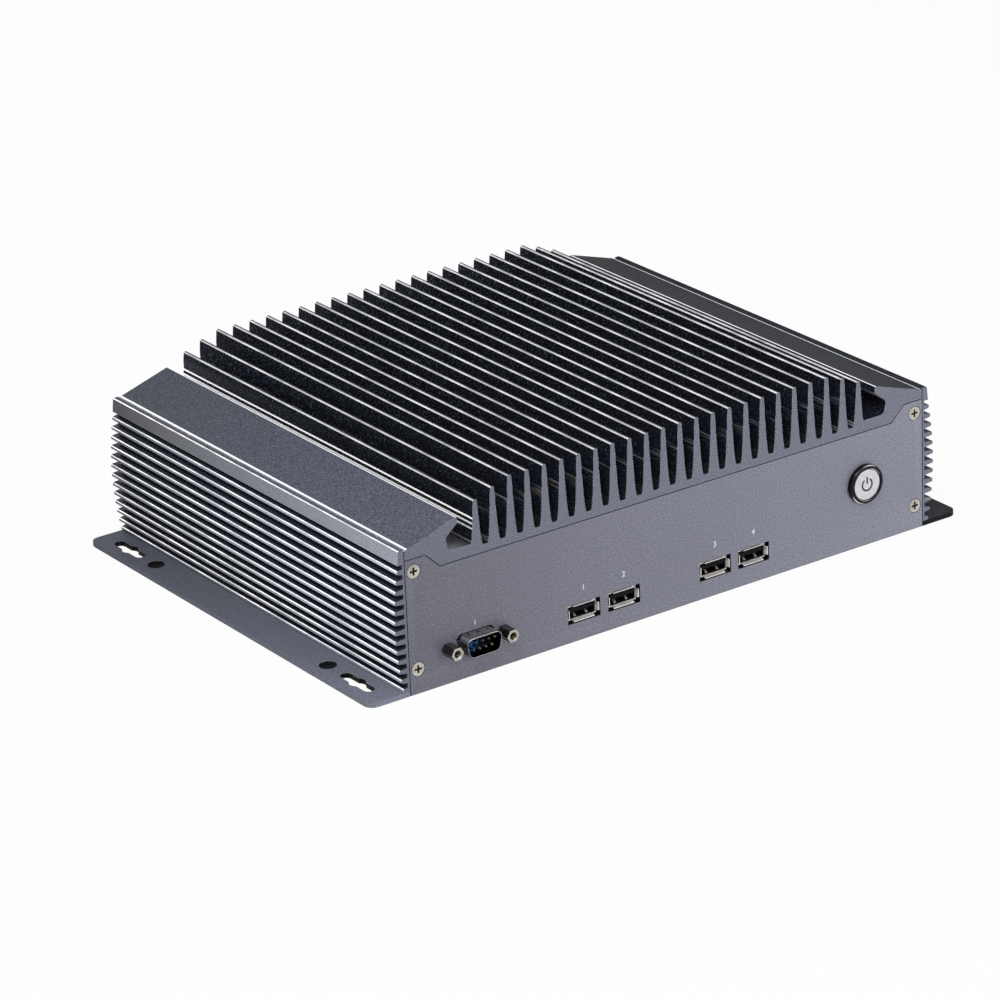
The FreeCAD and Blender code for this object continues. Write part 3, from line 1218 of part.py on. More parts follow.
def open_socket(x, size, opening):
    """A socket block on the back edge of the board, hollow from the rear."""
    height = BOARD_TOP + size[2] / 2
    block = box(spread(x, size[0]), (REAR - size[1], REAR), (BOARD_TOP, BOARD_TOP + size[2]))
    mouth = box(spread(x, opening[0]), (REAR - opening[1], REAR), spread(height, opening[2]))
    return without(block, [mouth])


def make_inlet_pins():
    """The three blades inside the power inlet."""
    height = BOARD_TOP + INLET_SIZE[2] / 2
    floor = REAR - INLET_OPENING[1]
    depth = (floor, floor + INLET_PIN_LENGTH)
    return [box(spread(INLET_X + step * INLET_PIN_SPACING, INLET_PIN_WIDTH), depth,
                spread(height, INLET_PIN_WIDTH))
            for step in (-1, 0, 1)]


def antenna_plug(x):
    """A rubber plug in a spare antenna hole."""
    rim, proud = ANTENNA_HEAD
    head = rod_along_y(x, ANTENNA_HEIGHT, ANTENNA_RADIUS + rim, REAR, REAR + proud)
    stem = rod_along_y(x, ANTENNA_HEIGHT, ANTENNA_RADIUS, REAR_PANEL_FRONT - 1.0, REAR)
    return fused([head, stem])


def make_rear_ports():
    """Save the ports at the rear."""
    save("network_sockets", [open_socket(x, NETWORK_SIZE, NETWORK_OPENING) for x in NETWORK_XS])
    save("rear_usb_shells", [turned_to_rear(usb_shell(-x)) for x in REAR_USB_XS])
    rear_tongues = [turned_to_rear(usb_tongue(-x)) for x in REAR_USB_XS]
    save("usb_tongues", [usb_tongue(x) for x in USB_XS] + rear_tongues)
    display_opening = tuple(size - 2 * DISPLAY_WALL for size in DISPLAY_SIZE)
    save("display_socket", [open_socket(DISPLAY_X, DISPLAY_SIZE, display_opening)])
    save("power_inlet", [open_socket(INLET_X, INLET_SIZE, INLET_OPENING)])
    save("power_inlet_pins", make_inlet_pins())
    save("antenna_hole_plugs", [antenna_plug(x) for x in ANTENNA_XS])


os.makedirs("parts", exist_ok=True)
make_case()
make_case_screws()
make_front_ports()
make_power_button()
make_board()
make_cooling()
make_memory()
make_cards()
make_small_parts()
make_storage()
make_rear_ports()
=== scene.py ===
"""Dresses the fanless industrial computer: finishes, fine edges, printed numbers, lights and camera.

Lengths are in millimetres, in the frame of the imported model, unless a docstring says otherwise.
"""

import json
import logging
import math
from dataclasses import dataclass
from enum import Enum
from functools import partial, reduce

import bmesh
import bpy
from mathutils import Matrix, Vector

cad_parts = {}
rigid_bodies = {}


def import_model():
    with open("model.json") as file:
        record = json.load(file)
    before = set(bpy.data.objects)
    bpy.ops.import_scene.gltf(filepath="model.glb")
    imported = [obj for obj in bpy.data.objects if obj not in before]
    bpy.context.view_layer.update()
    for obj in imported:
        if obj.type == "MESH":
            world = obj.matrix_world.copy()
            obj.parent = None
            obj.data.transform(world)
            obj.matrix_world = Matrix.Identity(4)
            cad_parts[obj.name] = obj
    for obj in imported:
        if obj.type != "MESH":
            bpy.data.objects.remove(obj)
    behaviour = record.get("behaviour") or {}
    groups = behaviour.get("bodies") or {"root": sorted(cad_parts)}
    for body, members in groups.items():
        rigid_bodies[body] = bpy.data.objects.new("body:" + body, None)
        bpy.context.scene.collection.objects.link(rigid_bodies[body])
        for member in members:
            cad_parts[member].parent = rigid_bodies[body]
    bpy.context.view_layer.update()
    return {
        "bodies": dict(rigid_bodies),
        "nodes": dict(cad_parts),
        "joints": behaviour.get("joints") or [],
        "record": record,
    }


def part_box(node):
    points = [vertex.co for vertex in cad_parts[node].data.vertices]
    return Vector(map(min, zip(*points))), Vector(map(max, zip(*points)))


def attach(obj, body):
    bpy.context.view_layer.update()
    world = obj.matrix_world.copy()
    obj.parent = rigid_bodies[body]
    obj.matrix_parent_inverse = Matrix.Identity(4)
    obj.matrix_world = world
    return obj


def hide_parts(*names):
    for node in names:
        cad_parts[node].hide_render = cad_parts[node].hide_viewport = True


MM = 0.001
LOG = logging.getLogger("industrial_computer")

Colour = tuple[float, float, float]
Point = tuple[float, float, float]
PlanePoint = tuple[float, float]
Span = tuple[float, float]
Socket = bpy.types.NodeSocket
Value = Socket | float | Colour
Piece = bpy.types.Object

WHITE: Colour = (1.0, 1.0, 1.0)
EVEN: Point = (1.0, 1.0, 1.0)
FAR = 500.0


class Body(Enum):
    """The two rigid bodies of the computer."""

    CASE = "case"
    BUTTON = "power_button"


class Slot(Enum):
    """The material slots of the record."""

    ANODISED = "anodised_aluminium"
    PANEL = "panel_aluminium"
    PLATE = "plate_metal"
    NICKEL = "nickel_plate"
    SCREW = "screw_steel"
    BLACK_CHROME = "black_chrome"
    SATIN = "satin_steel"
    SPRING = "spring_steel"
    BRASS = "brass_posts"
    GOLD = "gold_contacts"
    BLACK_PLASTIC = "black_plastic"
    BLUE_PLASTIC = "blue_plastic"
    GREEN_PLASTIC = "green_plastic"
    RUBBER = "black_rubber"
    WIRE = "wire_jacket"
    BOARD = "circuit_board"
    CHIP = "chip_package"
    ALUMINIUM = "plain_aluminium"


# Node materials


class NodeTree:
    """A node tree in the making, for a material or for the world."""

    def __init__(self, owner: bpy.types.Material | bpy.types.World) -> None:
        """Start an empty tree.

        Args:
            owner: the material or the world that it shades.
        """
        owner.use_nodes = True
        self.nodes = owner.node_tree.nodes
        self.links = owner.node_tree.links
        self.nodes.clear()

    def feed(self, value: Value, target: Socket) -> None:
        """Link a socket, or write a plain number, vector or colour on the target.

        Args:
            value: a socket, a number or three numbers.
            target: the socket that takes it.
        """
        if isinstance(value, Socket):
            self.links.new(value, target)
        elif isinstance(value, tuple) and len(target.default_value) > len(value):
            target.default_value = (*value, 1.0)
        else:
            target.default_value = value

    def add(self, kind: str, feeds: dict[str | int, Value], **options: str | int) -> bpy.types.Node:
        """Add a node, set its options and feed its inputs.

        Args:
            kind: the type of node, without the word that all types start with.
            feeds: what each input takes, by the input's name or number.
            options: its other settings.

        Returns:
            The new node.
        """
        node = self.nodes.new("ShaderNode" + kind)
        for option, setting in options.items():
            setattr(node, option, setting)
        for target, value in feeds.items():
            self.feed(value, node.inputs[target])
        return node

    def sum(self, kind: str, first: Socket | float, second: Socket | float = 0.0) -> Socket:
        """The result of a sum on two numbers, by the name of the operation."""
        return self.add("Math", {0: first, 1: second}, operation=kind).outputs[0]

    def highest(self, *values: Socket) -> Socket:
        """The highest of several values, or where any of several masks holds."""
        return reduce(partial(self.sum, "MAXIMUM"), values)

    def seen_directly(self) -> Socket:
        """Whether a ray comes from the camera, through glass or off a mirror."""
        rays = self.add("LightPath", {}).outputs
        return self.highest(rays["Is Camera Ray"], rays["Is Transmission Ray"], rays["Is Glossy Ray"])

    def blend(self, share: Socket, first: bpy.types.Node, second: bpy.types.Node) -> Socket:
        """A shader that turns from the first into the second as the share grows."""
        return self.add("MixShader", {0: share, 1: first.outputs[0], 2: second.outputs[0]}).outputs[0]


class Graph(NodeTree):
    """A material in the making, with the shader and the coordinates that every finish uses."""

    def __init__(self, name: str) -> None:
        """Start an empty material.

        Args:
            name: what the material is called.
        """
        self.material = bpy.data.materials.new(name)
        super().__init__(self.material)
        self.shader = self.add("BsdfPrincipled", {})
        self.add("OutputMaterial", {"Surface": self.shader.outputs["BSDF"]})
        self.place = self.add("TexCoord", {}).outputs["Object"]

    def noise(self, scale: float, detail: float = 2.0, stretch: Point = EVEN) -> Socket:
        """A soft cloud pattern.

        Args:
            scale: how many features there are in a metre.
            detail: how many finer layers lie on it.
            stretch: how much denser it is along each axis.

        Returns:
            The pattern as a number from 0 to 1.
        """
        place = self.place
        if stretch != EVEN:
            place = self.add("Mapping", {"Vector": place, "Scale": stretch}).outputs["Vector"]
        return self.add("TexNoise", {"Vector": place, "Scale": scale, "Detail": detail}).outputs["Fac"]

    def cells(self, scale: float) -> Socket:
        """The distance to the nearest of many scattered points."""
        return self.add("TexVoronoi", {"Vector": self.place, "Scale": scale}).outputs["Distance"]

    def spread(self, value: Socket, low: float, high: float, start: float = 0.0, end: float = 1.0) -> Socket:
        """A value mapped from one range to another, and held at its ends.

        Args:
            value: the socket to map.
            low: the value that gives the start.
            high: the value that gives the end.
            start: the result at the low value.
            end: the result at the high value.

        Returns:
            The mapped socket.
        """
        limits = {"Value": value, "From Min": low, "From Max": high, "To Min": start, "To Max": end}
        return self.add("MapRange", limits).outputs["Result"]

    def between(self, place: Socket, low: float, high: float, start: float = 0.0, end: float = 1.0) -> Socket:
        """A place mapped the same way, with its limits in millimetres."""
        return self.spread(place, low * MM, high * MM, start, end)

    def beyond(self, place: Socket, limit: float, blur: float = 0.1) -> Socket:
        """Where a place lies beyond a limit in millimetres."""
        return self.spread(place, (limit - blur) * MM, limit * MM)

    def band(self, value: Socket, low: float, high: float, blur: float) -> Socket:
        """Where a value lies between two limits.

        Args:
            value: the socket to test.
            low: the lower limit.
            high: the upper limit.
            blur: how far outside a limit the mask fades out.

        Returns:
            1 between the limits and 0 well outside them.
        """
        return self.both(self.spread(value, low - blur, low), self.spread(value, high + blur, high))

    def within(self, place: Socket, span: Span, blur: float = 0.1) -> Socket:
        """Where a place lies between two limits in millimetres."""
        return self.band(place, span[0] * MM, span[1] * MM, blur * MM)

    def both(self, *masks: Socket | float) -> Socket:
        """Where all of several masks hold."""
        return reduce(partial(self.sum, "MULTIPLY"), masks)

    def size_of(self, value: Socket) -> Socket:
        """A value without its sign."""
        return self.sum("ABSOLUTE", value)

    def mix(self, share: Socket | float, first: Socket | Colour, second: Socket | Colour) -> Socket:
        """The first colour with a share of the second laid over it."""
        return self.add("Mix", {0: share, 6: first, 7: second}, data_type="RGBA").outputs[2]

    def dimmed(self, colour: Socket | Colour, level: Socket) -> Socket:
        """A colour times a number."""
        return self.add("VectorMath", {0: colour, "Scale": level}, operation="SCALE").outputs[0]

    def mottled(self, pattern: Socket, span: Span, tone: Colour, shades: Span) -> Socket:
        """A tone that swings between two shades along a pattern.

        Args:
            pattern: the pattern, from 0 to 1.
            span: the part of the pattern over which the shade changes.
            tone: the average tone.
            shades: how bright the darkest and the lightest spots are.

        Returns:
            The uneven colour.
        """
        return self.mix(self.spread(pattern, *span), shade(tone, shades[0]), shade(tone, shades[1]))

    def parts(self, vector: Socket) -> tuple[Socket, Socket, Socket]:
        """The three parts of a vector socket."""
        return tuple(self.add("SeparateXYZ", {0: vector}).outputs)

    def geometry(self, name: str) -> Socket:
        """A direction that the surface itself gives."""
        return self.add("NewGeometry", {}).outputs[name]

    def facing(self) -> tuple[Socket, Socket, Socket]:
        """The three parts of the direction that the flat face looks in."""
        return self.parts(self.geometry("True Normal"))

    def alike(self, first: Socket, second: Socket | Point) -> Socket:
        """How nearly two directions agree."""
        return self.add("VectorMath", {0: first, 1: second}, operation="DOT_PRODUCT").outputs["Value"]

    def towards(self, direction: Point, low: float, high: float) -> Socket:
        """Where a surface faces a direction, between two degrees of agreement."""
        return self.spread(self.alike(self.geometry("Normal"), direction), low, high)

    def edges(self, radius: float) -> Socket:
        """How near a point is to an edge, 1 on it and 0 beyond the given radius."""
        rounded = self.add("Bevel", {"Radius": radius * MM}, samples=6).outputs["Normal"]
        return self.spread(self.alike(rounded, self.geometry("Normal")), 0.97, 0.8)

    def bump(self, height: Socket, strength: float, depth: float) -> None:
        """Raise the surface by a pattern, with its depth in millimetres."""
        raised = self.add("Bump", {"Strength": strength, "Distance": depth * MM, "Height": height})
        self.feed(raised.outputs["Normal"], self.shader.inputs["Normal"])

    def finish(self, colour: Socket, roughness: Socket, metallic: Socket | float,
               gloss: Socket | float = 0.5) -> bpy.types.Material:
        """Set the main values of the shader.

        Args:
            colour: the base colour.
            roughness: from 0, polished, to 1, dull.
            metallic: 1 on bare metal.
            gloss: how strongly a coat or a plastic mirrors.

        Returns:
            The finished material.
        """
        names = ("Base Color", "Roughness", "Metallic", "Specular IOR Level")
        for name, value in zip(names, (colour, roughness, metallic, gloss)):
            self.feed(value, self.shader.inputs[name])
        return self.material


def shade(tone: Colour, amount: float) -> Colour:
    """A colour made lighter or darker by a factor."""
    return tuple(part * amount for part in tone)


@dataclass(frozen=True)
class BlastedFinish:
    """Sandblasted, anodised sheet aluminium with sparkling grain, painted shade on its cut edges and painted
    light that changes towards the right and the front.
    """

    name: str
    tone: Colour
    sparkle: Colour
    metallic: float = 0.5
    roughness: float = 0.46
    grain: float = 1900.0
    grain_shades: Span = (0.6, 1.4)
    cloud_scale: float = 16.0
    cloud_shade: float = 0.86
    painted_light_right: float = 1.0
    painted_light_front: float = 1.0
    half_width: float = 120.0
    half_depth: float = 100.0
    gloss: float = 0.3
    broad_axis: int = 1
    cut_within: PlanePoint = (200.0, 200.0)

    def cut_edges(self, graph: Graph) -> Socket:
        """Where the sheet is cut through, inside the limits.

        Args:
            graph: the material in the making.

        Returns:
            A mask.
        """
        masks = [graph.spread(graph.size_of(graph.facing()[self.broad_axis]), 0.93, 0.85)]
        for place, limit in zip(graph.parts(graph.place), self.cut_within):
            masks.append(graph.spread(graph.size_of(place), limit * MM, 0.999 * limit * MM))
        return graph.both(*masks)

    def build(self) -> bpy.types.Material:
        """Make the material.

        Returns:
            The material, with painted light that makes it brighter or darker towards the right and towards
            the front.
        """
        graph = Graph(self.name)
        along_x, along_y, _ = graph.parts(graph.place)
        grain = graph.noise(self.grain)
        base = graph.mottled(grain, (0.32, 0.68), self.tone, self.grain_shades)
        cloud = graph.spread(graph.noise(self.cloud_scale, 3.0), 0.35, 0.65, 0.0, 0.3)
        base = graph.mix(cloud, base, shade(self.tone, self.cloud_shade))
        width, depth = self.half_width, self.half_depth
        # Painted light: the tone is scaled brighter or darker towards the right and towards the front.
        across = graph.between(along_x, -width, width, 2.0 - self.painted_light_right, self.painted_light_right)
        forward = graph.between(along_y, depth, -depth, 2.0 - self.painted_light_front, self.painted_light_front)
        base = graph.dimmed(base, graph.both(across, forward))
        specks = graph.spread(graph.noise(self.grain * 1.2, 1.0), 0.64, 0.74, 0.0, 0.6)
        base = graph.mix(specks, base, self.sparkle)
        # Painted shade: the cut edges of the sheet are darkened where shade falls in holes and slots.
        cut_edge_shade = graph.spread(graph.noise(900.0), 0.6, 0.7, 0.004, 0.12)
        base = graph.mix(self.cut_edges(graph), base, graph.dimmed(WHITE, cut_edge_shade))
        graph.bump(grain, 0.5, 0.06)
        roughness = graph.spread(grain, 0.25, 0.75, self.roughness - 0.08, self.roughness + 0.1)
        return graph.finish(base, roughness, self.metallic, self.gloss)


class ExtrusionGraph(Graph):
    """A material that also knows where a point of the extrusions lies and which way its face looks."""

    def __init__(self, name: str) -> None:
        """Read the places and the directions. The one called forward is 0 at the rear and 1 at the front.

        Args:
            name: what the material is called.
        """
        super().__init__(name)
        self.right, self.back, self.height = self.parts(self.place)
        facing_x, facing_y, self.upwards = self.facing()
        self.sideways = self.size_of(facing_x)
        self.lengthways = self.size_of(facing_y)
        self.off_centre = self.size_of(self.right)
        self.forward = self.between(self.back, 95.0, -100.0)


@dataclass(frozen=True)
class FinFinish:
    """Anodised extrusion: light sawn ends, painted near-black shade on the flanks, painted highlights on the
    machined edges and grey upper faces with painted light and shade.
    """

    name: str
    end: Colour = (0.15, 0.156, 0.195)
    flank_shade: Colour = (0.0095, 0.0105, 0.0155)
    wall_shade: Colour = (0.044, 0.049, 0.068)
    speck: Colour = (0.16, 0.18, 0.24)
    painted_highlight: Colour = (0.95, 0.95, 0.97)
    crest_shade: Colour = (0.022, 0.024, 0.03)
    ledge: Colour = (0.058, 0.063, 0.088)
    outer: Colour = (0.37, 0.385, 0.44)
    grain: float = 1900.0
    half_width: float = 120.0
    half_depth: float = 100.0
    ledge_span: Span = (93.0, 126.0)
    ledge_bottom: float = 56.0
    ledge_rim: Span = (120.6, 121.4)
    outer_from: float = 123.6
    crest_from: float = 68.6
    ridge_span: Span = (97.5, 100.0)
    ridge_bottom: float = 64.5
    notch_span: Span = (91.5, 102.0)
    notch_top: float = 53.0
    cap_from: float = 51.5
    wall_from: float = 122.3
    facet_span: Span = (61.0, 65.0)
    facet_slope: Span = (0.36, 0.58)
    serration_pitch: float = 1.0
    serrated_from: float = 58.0
    sheen_span: Span = (63.5, 65.5)
    sheen_blur: float = 2.5
    outer_flank_span: Span = (90.6, 93.5)
    front: float = 99.6
    seam_top: float = 49.0
    seam_from: float = 106.5
    rim_radius: float = 0.12
    upright: Span = (0.93, 0.97)
    level: Span = (0.82, 0.9)
    slanted: Span = (0.6, 0.64)

    def build(self) -> bpy.types.Material:
        """Make the material.

        Returns:
            The material, with painted light and shade in tones picked by which way each face looks and where
            it lies.
        """
        graph = ExtrusionGraph(self.name)
        grain = graph.noise(self.grain)
        tone = self.paint_upper_faces(graph, self.flanks(graph))
        outward = graph.both(graph.spread(graph.sideways, *self.upright),
                             graph.beyond(graph.off_centre, self.outer_from))
        tone = graph.mix(outward, tone, self.outer_wall(graph, grain))
        # Painted highlights on chamfers, ridges and serration facets.
        lines = self.highlight_lines(graph)
        tone = graph.mix(lines, tone, self.painted_highlight)
        tone = graph.mix(self.ledge_sheen(graph), tone, shade(self.outer, 0.8))
        sawn = graph.spread(graph.lengthways, 0.7, 0.8)
        # Painted light: the sawn ends grow slightly lighter towards the right.
        across = graph.between(graph.right, -self.half_width, self.half_width, 0.93, 1.07)
        tone = graph.mix(sawn, tone, graph.dimmed(self.grained(graph, self.end, grain, 0.25), across))
        # Front edges take a painted highlight, except by the seam, where they take painted shade.
        front_edges = graph.both(graph.edges(self.rim_radius), graph.beyond(graph.size_of(graph.back), self.front))
        by_seam = graph.highest(graph.between(graph.height, self.seam_top + 0.1, self.seam_top),
                                graph.beyond(graph.off_centre, self.seam_from))
        rim_highlight = graph.both(front_edges, graph.sum("SUBTRACT", 1.0, by_seam), 0.5)
        tone = graph.mix(rim_highlight, tone, self.painted_highlight)
        tone = graph.mix(graph.both(front_edges, by_seam), tone, self.flank_shade)
        graph.bump(grain, 0.45, 0.06)
        broad = graph.within(graph.off_centre, (self.notch_span[0], self.ledge_span[1]))
        shoulder = graph.both(graph.spread(graph.upwards, *self.level), broad, self.from_left(graph, 0.0))
        metal = graph.both(graph.highest(outward, shoulder, sawn), 0.5)
        roughness = graph.spread(grain, 0.25, 0.75, 0.4, 0.56)
        gloss = graph.spread(metal, 0.0, 0.5, 0.02, 0.25)
        return graph.finish(tone, roughness, graph.highest(metal, graph.highest(lines, rim_highlight)), gloss)

    @staticmethod
    def from_left(graph: ExtrusionGraph, right_level: float) -> Socket:
        """How much of the light from the left reaches a shoulder, 1 on the left and a level on the right."""
        return graph.between(graph.right, -90.0, 90.0, 1.0, right_level)

    @staticmethod
    def grained(graph: Graph, tone: Colour, grain: Socket, swing: float) -> Socket:
        """A tone with blasted grain and sparkling specks.

        Args:
            graph: the material in the making.
            tone: the average tone.
            grain: the grain pattern.
            swing: how far the grain leaves the average.

        Returns:
            The grained colour.
        """
        base = graph.mottled(grain, (0.36, 0.64), tone, (1 - swing, 1 + swing))
        return graph.mix(graph.spread(graph.noise(2000.0, 1.0), 0.6, 0.7, 0.0, swing), base, shade(tone, 3.6))

    def flanks(self, graph: ExtrusionGraph) -> Socket:
        """The near-black painted shade between fins, with pale specks that fade towards the front.

        Args:
            graph: the material in the making.

        Returns:
            The colour.
        """
        specks = graph.spread(graph.noise(1600.0, 1.0), 0.62, 0.68, 0.0, 0.9)
        # Painted shade: flanks and the walls between fins are near-black where shade falls.
        dark = graph.mix(graph.beyond(graph.off_centre, self.wall_from), self.flank_shade, self.wall_shade)
        faded = graph.between(graph.back, self.half_depth, -self.half_depth, 1.0, 0.45)
        return graph.mix(graph.both(specks, faded), dark, self.speck)

    def outer_wall(self, graph: ExtrusionGraph, grain: Socket) -> Socket:
        """The tone of the outermost faces, with painted light that makes them brighter towards the front, and
        dimmer on the cap.

        Args:
            graph: the material in the making.
            grain: the grain pattern.

        Returns:
            The colour.
        """
        # Painted light: brighter towards the front; the cap is dimmer.
        cap_level = graph.between(graph.height, self.cap_from - 0.5, self.cap_from, 1.0, 0.6)
        level = graph.both(graph.spread(graph.forward, 0.0, 1.0, 0.33, 1.55), cap_level)
        return graph.dimmed(self.grained(graph, self.outer, grain, 0.15), level)

    def paint_upper_faces(self, graph: ExtrusionGraph, tone: Socket) -> Socket:
        """Tone the shoulders with painted light that grows towards the front and the left, a painted
        highlight on their rims, a painted pool of light on the notch floors and painted shade on the flat
        tips of the fins.

        Args:
            graph: the material in the making.
            tone: the colour so far.

        Returns:
            The colour with these faces toned.
        """
        upward = graph.spread(graph.upwards, *self.level)
        grain = graph.noise(1700.0)
        light = graph.both(graph.spread(graph.forward, 0.0, 1.0, 0.7, 1.2), self.from_left(graph, 0.2))
        ledge = graph.dimmed(self.grained(graph, self.ledge, grain, 0.65), light)
        # Painted highlight along the rim of the shoulder.
        ledge = graph.mix(graph.within(graph.off_centre, self.ledge_rim, 0.05), ledge, self.painted_highlight)
        on_ledge = graph.both(upward, graph.within(graph.off_centre, self.ledge_span),
                              graph.beyond(graph.height, self.ledge_bottom))
        tone = graph.mix(on_ledge, tone, ledge)
        in_notch = graph.both(graph.between(graph.height, self.notch_top + 0.1, self.notch_top),
                              graph.within(graph.off_centre, self.notch_span))
        lit_floor = graph.both(upward, in_notch, graph.between(graph.off_centre, *self.notch_span, 0.02, 0.5),
                               self.from_left(graph, 0.0))
        # Painted pool of light on the notch floors.
        tone = graph.mix(lit_floor, tone, shade(self.painted_highlight, 0.6))
        # Painted shade on the flat tips of the fins.
        return graph.mix(graph.both(upward, graph.beyond(graph.height, self.crest_from)), tone, self.crest_shade)

    def ledge_sheen(self, graph: ExtrusionGraph) -> Socket:
        """Where a shoulder throws light on the fin beside it.

        Args:
            graph: the material in the making.

        Returns:
            A mask.
        """
        return graph.both(graph.within(graph.off_centre, self.outer_flank_span),
                          graph.within(graph.height, self.sheen_span, self.sheen_blur),
                          graph.between(graph.back, -20.0, 90.0, 0.0, 0.12))

    def highlight_lines(self, graph: ExtrusionGraph) -> Socket:
        """The painted highlights where cut corners, the ridge of a shoulder and the serrations catch the
        light.

        Args:
            graph: the material in the making.

        Returns:
            A mask, 1 on the brightest lines.
        """
        low, high = self.facet_span
        slant = graph.spread(graph.sideways, *self.slanted)
        uneven = graph.spread(graph.noise(90.0), 0.35, 0.65, 0.4, 0.65)
        at_sides = graph.between(graph.off_centre, self.outer_from - 5.0, self.outer_from - 4.0, 1.0, 1.6)
        # Painted highlight on chamfers that face up, and a dimmer one on those that face down.
        cut = graph.both(slant, graph.spread(graph.upwards, *self.slanted), uneven, at_sides)
        underside = graph.both(slant, graph.spread(graph.upwards, -self.slanted[0], -self.slanted[1]), 0.35)
        ridge = graph.both(graph.spread(graph.upwards, 0.97, 0.99),
                           graph.beyond(graph.height, self.ridge_bottom),
                           graph.within(graph.off_centre, self.ridge_span))
        facet = graph.both(graph.band(graph.upwards, *self.facet_slope, 0.02),
                           graph.spread(graph.sideways, 0.7, 0.75))
        faint = graph.both(facet, graph.between(graph.height, low, high, 0.0, 0.16),
                           graph.spread(graph.noise(60.0, 1.0, (1.0, 1.0, 20.0)), 0.45, 0.65))
        turn = graph.sum("FRACT", graph.sum("DIVIDE", graph.height, 2 * self.serration_pitch * MM))
        strong = graph.both(facet, graph.within(graph.off_centre, self.outer_flank_span),
                            graph.beyond(graph.height, self.serrated_from, 0.2),
                            graph.spread(turn, 0.5, 0.48))
        return graph.highest(graph.highest(cut, underside, ridge), graph.highest(faint, strong))


@dataclass(frozen=True)
class PlatedFinish:
    """Plated or bare metal with fine scratches, tarnish, painted highlights on its edges and painted shade on
    its flanks, on downward faces and beyond two depths.
    """

    name: str
    tone: Colour
    roughness: float = 0.22
    tarnish: float = 0.35
    grain: Point = EVEN
    scale: float = 600.0
    flank_level: float = 1.0
    metallic: float = 1.0
    shade_from: float = FAR
    shade_before: float = -FAR
    shade_level: float = 0.03
    shaded_below: float = 1.0

    def build(self) -> bpy.types.Material:
        """Make the material.

        Returns:
            The material, with its scratches running along the grain and painted shade on its flanks at their
            own level.
        """
        graph = Graph(self.name)
        scratches = graph.noise(self.scale, 4.0, self.grain)
        tarnished = graph.spread(graph.noise(120.0, 3.0), 0.4, 0.7, 0.0, self.tarnish)
        base = graph.mix(tarnished, self.tone, shade(self.tone, 0.5))
        base = graph.mix(graph.spread(scratches, 0.55, 0.7, 0.0, 0.3), base, shade(self.tone, 1.25))
        # Painted highlight on the edges.
        base = graph.mix(graph.both(graph.edges(0.1), 0.5), base, shade(self.tone, 1.4))
        _, facing_y, facing_z = graph.facing()
        along_y = graph.parts(graph.place)[1]
        # Painted shade on faces that turn away from the front or back, on faces that look down, and beyond
        # two depths.
        for level in (graph.spread(graph.size_of(facing_y), 0.6, 0.9, self.flank_level, 1.0),
                      graph.spread(facing_z, -0.35, 0.1, self.shaded_below, 1.0),
                      graph.between(along_y, self.shade_from, self.shade_from + 0.5, 1.0, self.shade_level),
                      graph.between(along_y, self.shade_before - 0.5, self.shade_before, self.shade_level, 1.0)):
            base = graph.dimmed(base, level)
        graph.bump(scratches, 0.12, 0.03)
        roughness = graph.spread(scratches, 0.3, 0.7, self.roughness * 0.75, self.roughness * 1.4)
        return graph.finish(base, roughness, self.metallic)


@dataclass(frozen=True)
class GlossRingFinish:
    """Black chrome with painted reflections of two soft lights, one low on the left and one overhead."""

    name: str
    tone: Colour = (0.02, 0.02, 0.024)
    glint: Colour = (0.8, 0.81, 0.84)
    low_light: Point = (-0.42, -0.72, -0.55)
    top_light: Point = (0.12, -0.72, 0.68)

    def build(self) -> bpy.types.Material:
        """Make the material.

        Returns:
            The material.
        """
        graph = Graph(self.name)
        smudges = graph.noise(400.0, 3.0)
        lit = graph.highest(graph.towards(self.low_light, 0.93, 0.98),
                            graph.towards(self.top_light, 0.94, 0.99))
        share = graph.both(lit, graph.spread(smudges, 0.3, 0.6, 0.55, 0.9))
        graph.bump(smudges, 0.05, 0.02)
        roughness = graph.spread(smudges, 0.3, 0.7, 0.08, 0.18)
        return graph.finish(graph.mix(share, self.tone, self.glint), roughness, 1.0)


@dataclass(frozen=True)
class MouldedFinish:
    """Moulded plastic or rubber with a fine eroded texture, painted highlights on its edges and painted shade
    that can darken it along X and in depth.
    """

    name: str
    tone: Colour
    roughness: float = 0.45
    texture: float = 900.0
    bump: float = 0.2
    gloss: float = 0.4
    fade_shade_span: Span = (FAR, FAR + 1.0)
    fade_shade_level: float = 0.04
    shade_from: float = FAR

    def build(self) -> bpy.types.Material:
        """Make the material.

        Returns:
            The material.
        """
        graph = Graph(self.name)
        fine = graph.noise(self.texture, 3.0)
        base = graph.mottled(fine, (0.3, 0.7), self.tone, (0.8, 1.25))
        cloud = graph.spread(graph.noise(60.0), 0.4, 0.65, 0.0, 0.3)
        base = graph.mix(cloud, base, shade(self.tone, 0.7))
        # Painted highlight on the edges.
        base = graph.mix(graph.both(graph.edges(0.12), 0.35), base, shade(self.tone, 2.2))
        along_x, along_y, _ = graph.parts(graph.place)
        # Painted shade along X and beyond a depth.
        shade_span = (self.shade_from, self.shade_from + 0.3)
        for place, span in ((along_x, self.fade_shade_span), (along_y, shade_span)):
            base = graph.dimmed(base, graph.between(place, *span, 1.0, self.fade_shade_level))
        graph.bump(fine, self.bump, 0.04)
        roughness = graph.spread(fine, 0.3, 0.7, self.roughness - 0.08, self.roughness + 0.1)
        return graph.finish(base, roughness, 0.0, self.gloss)


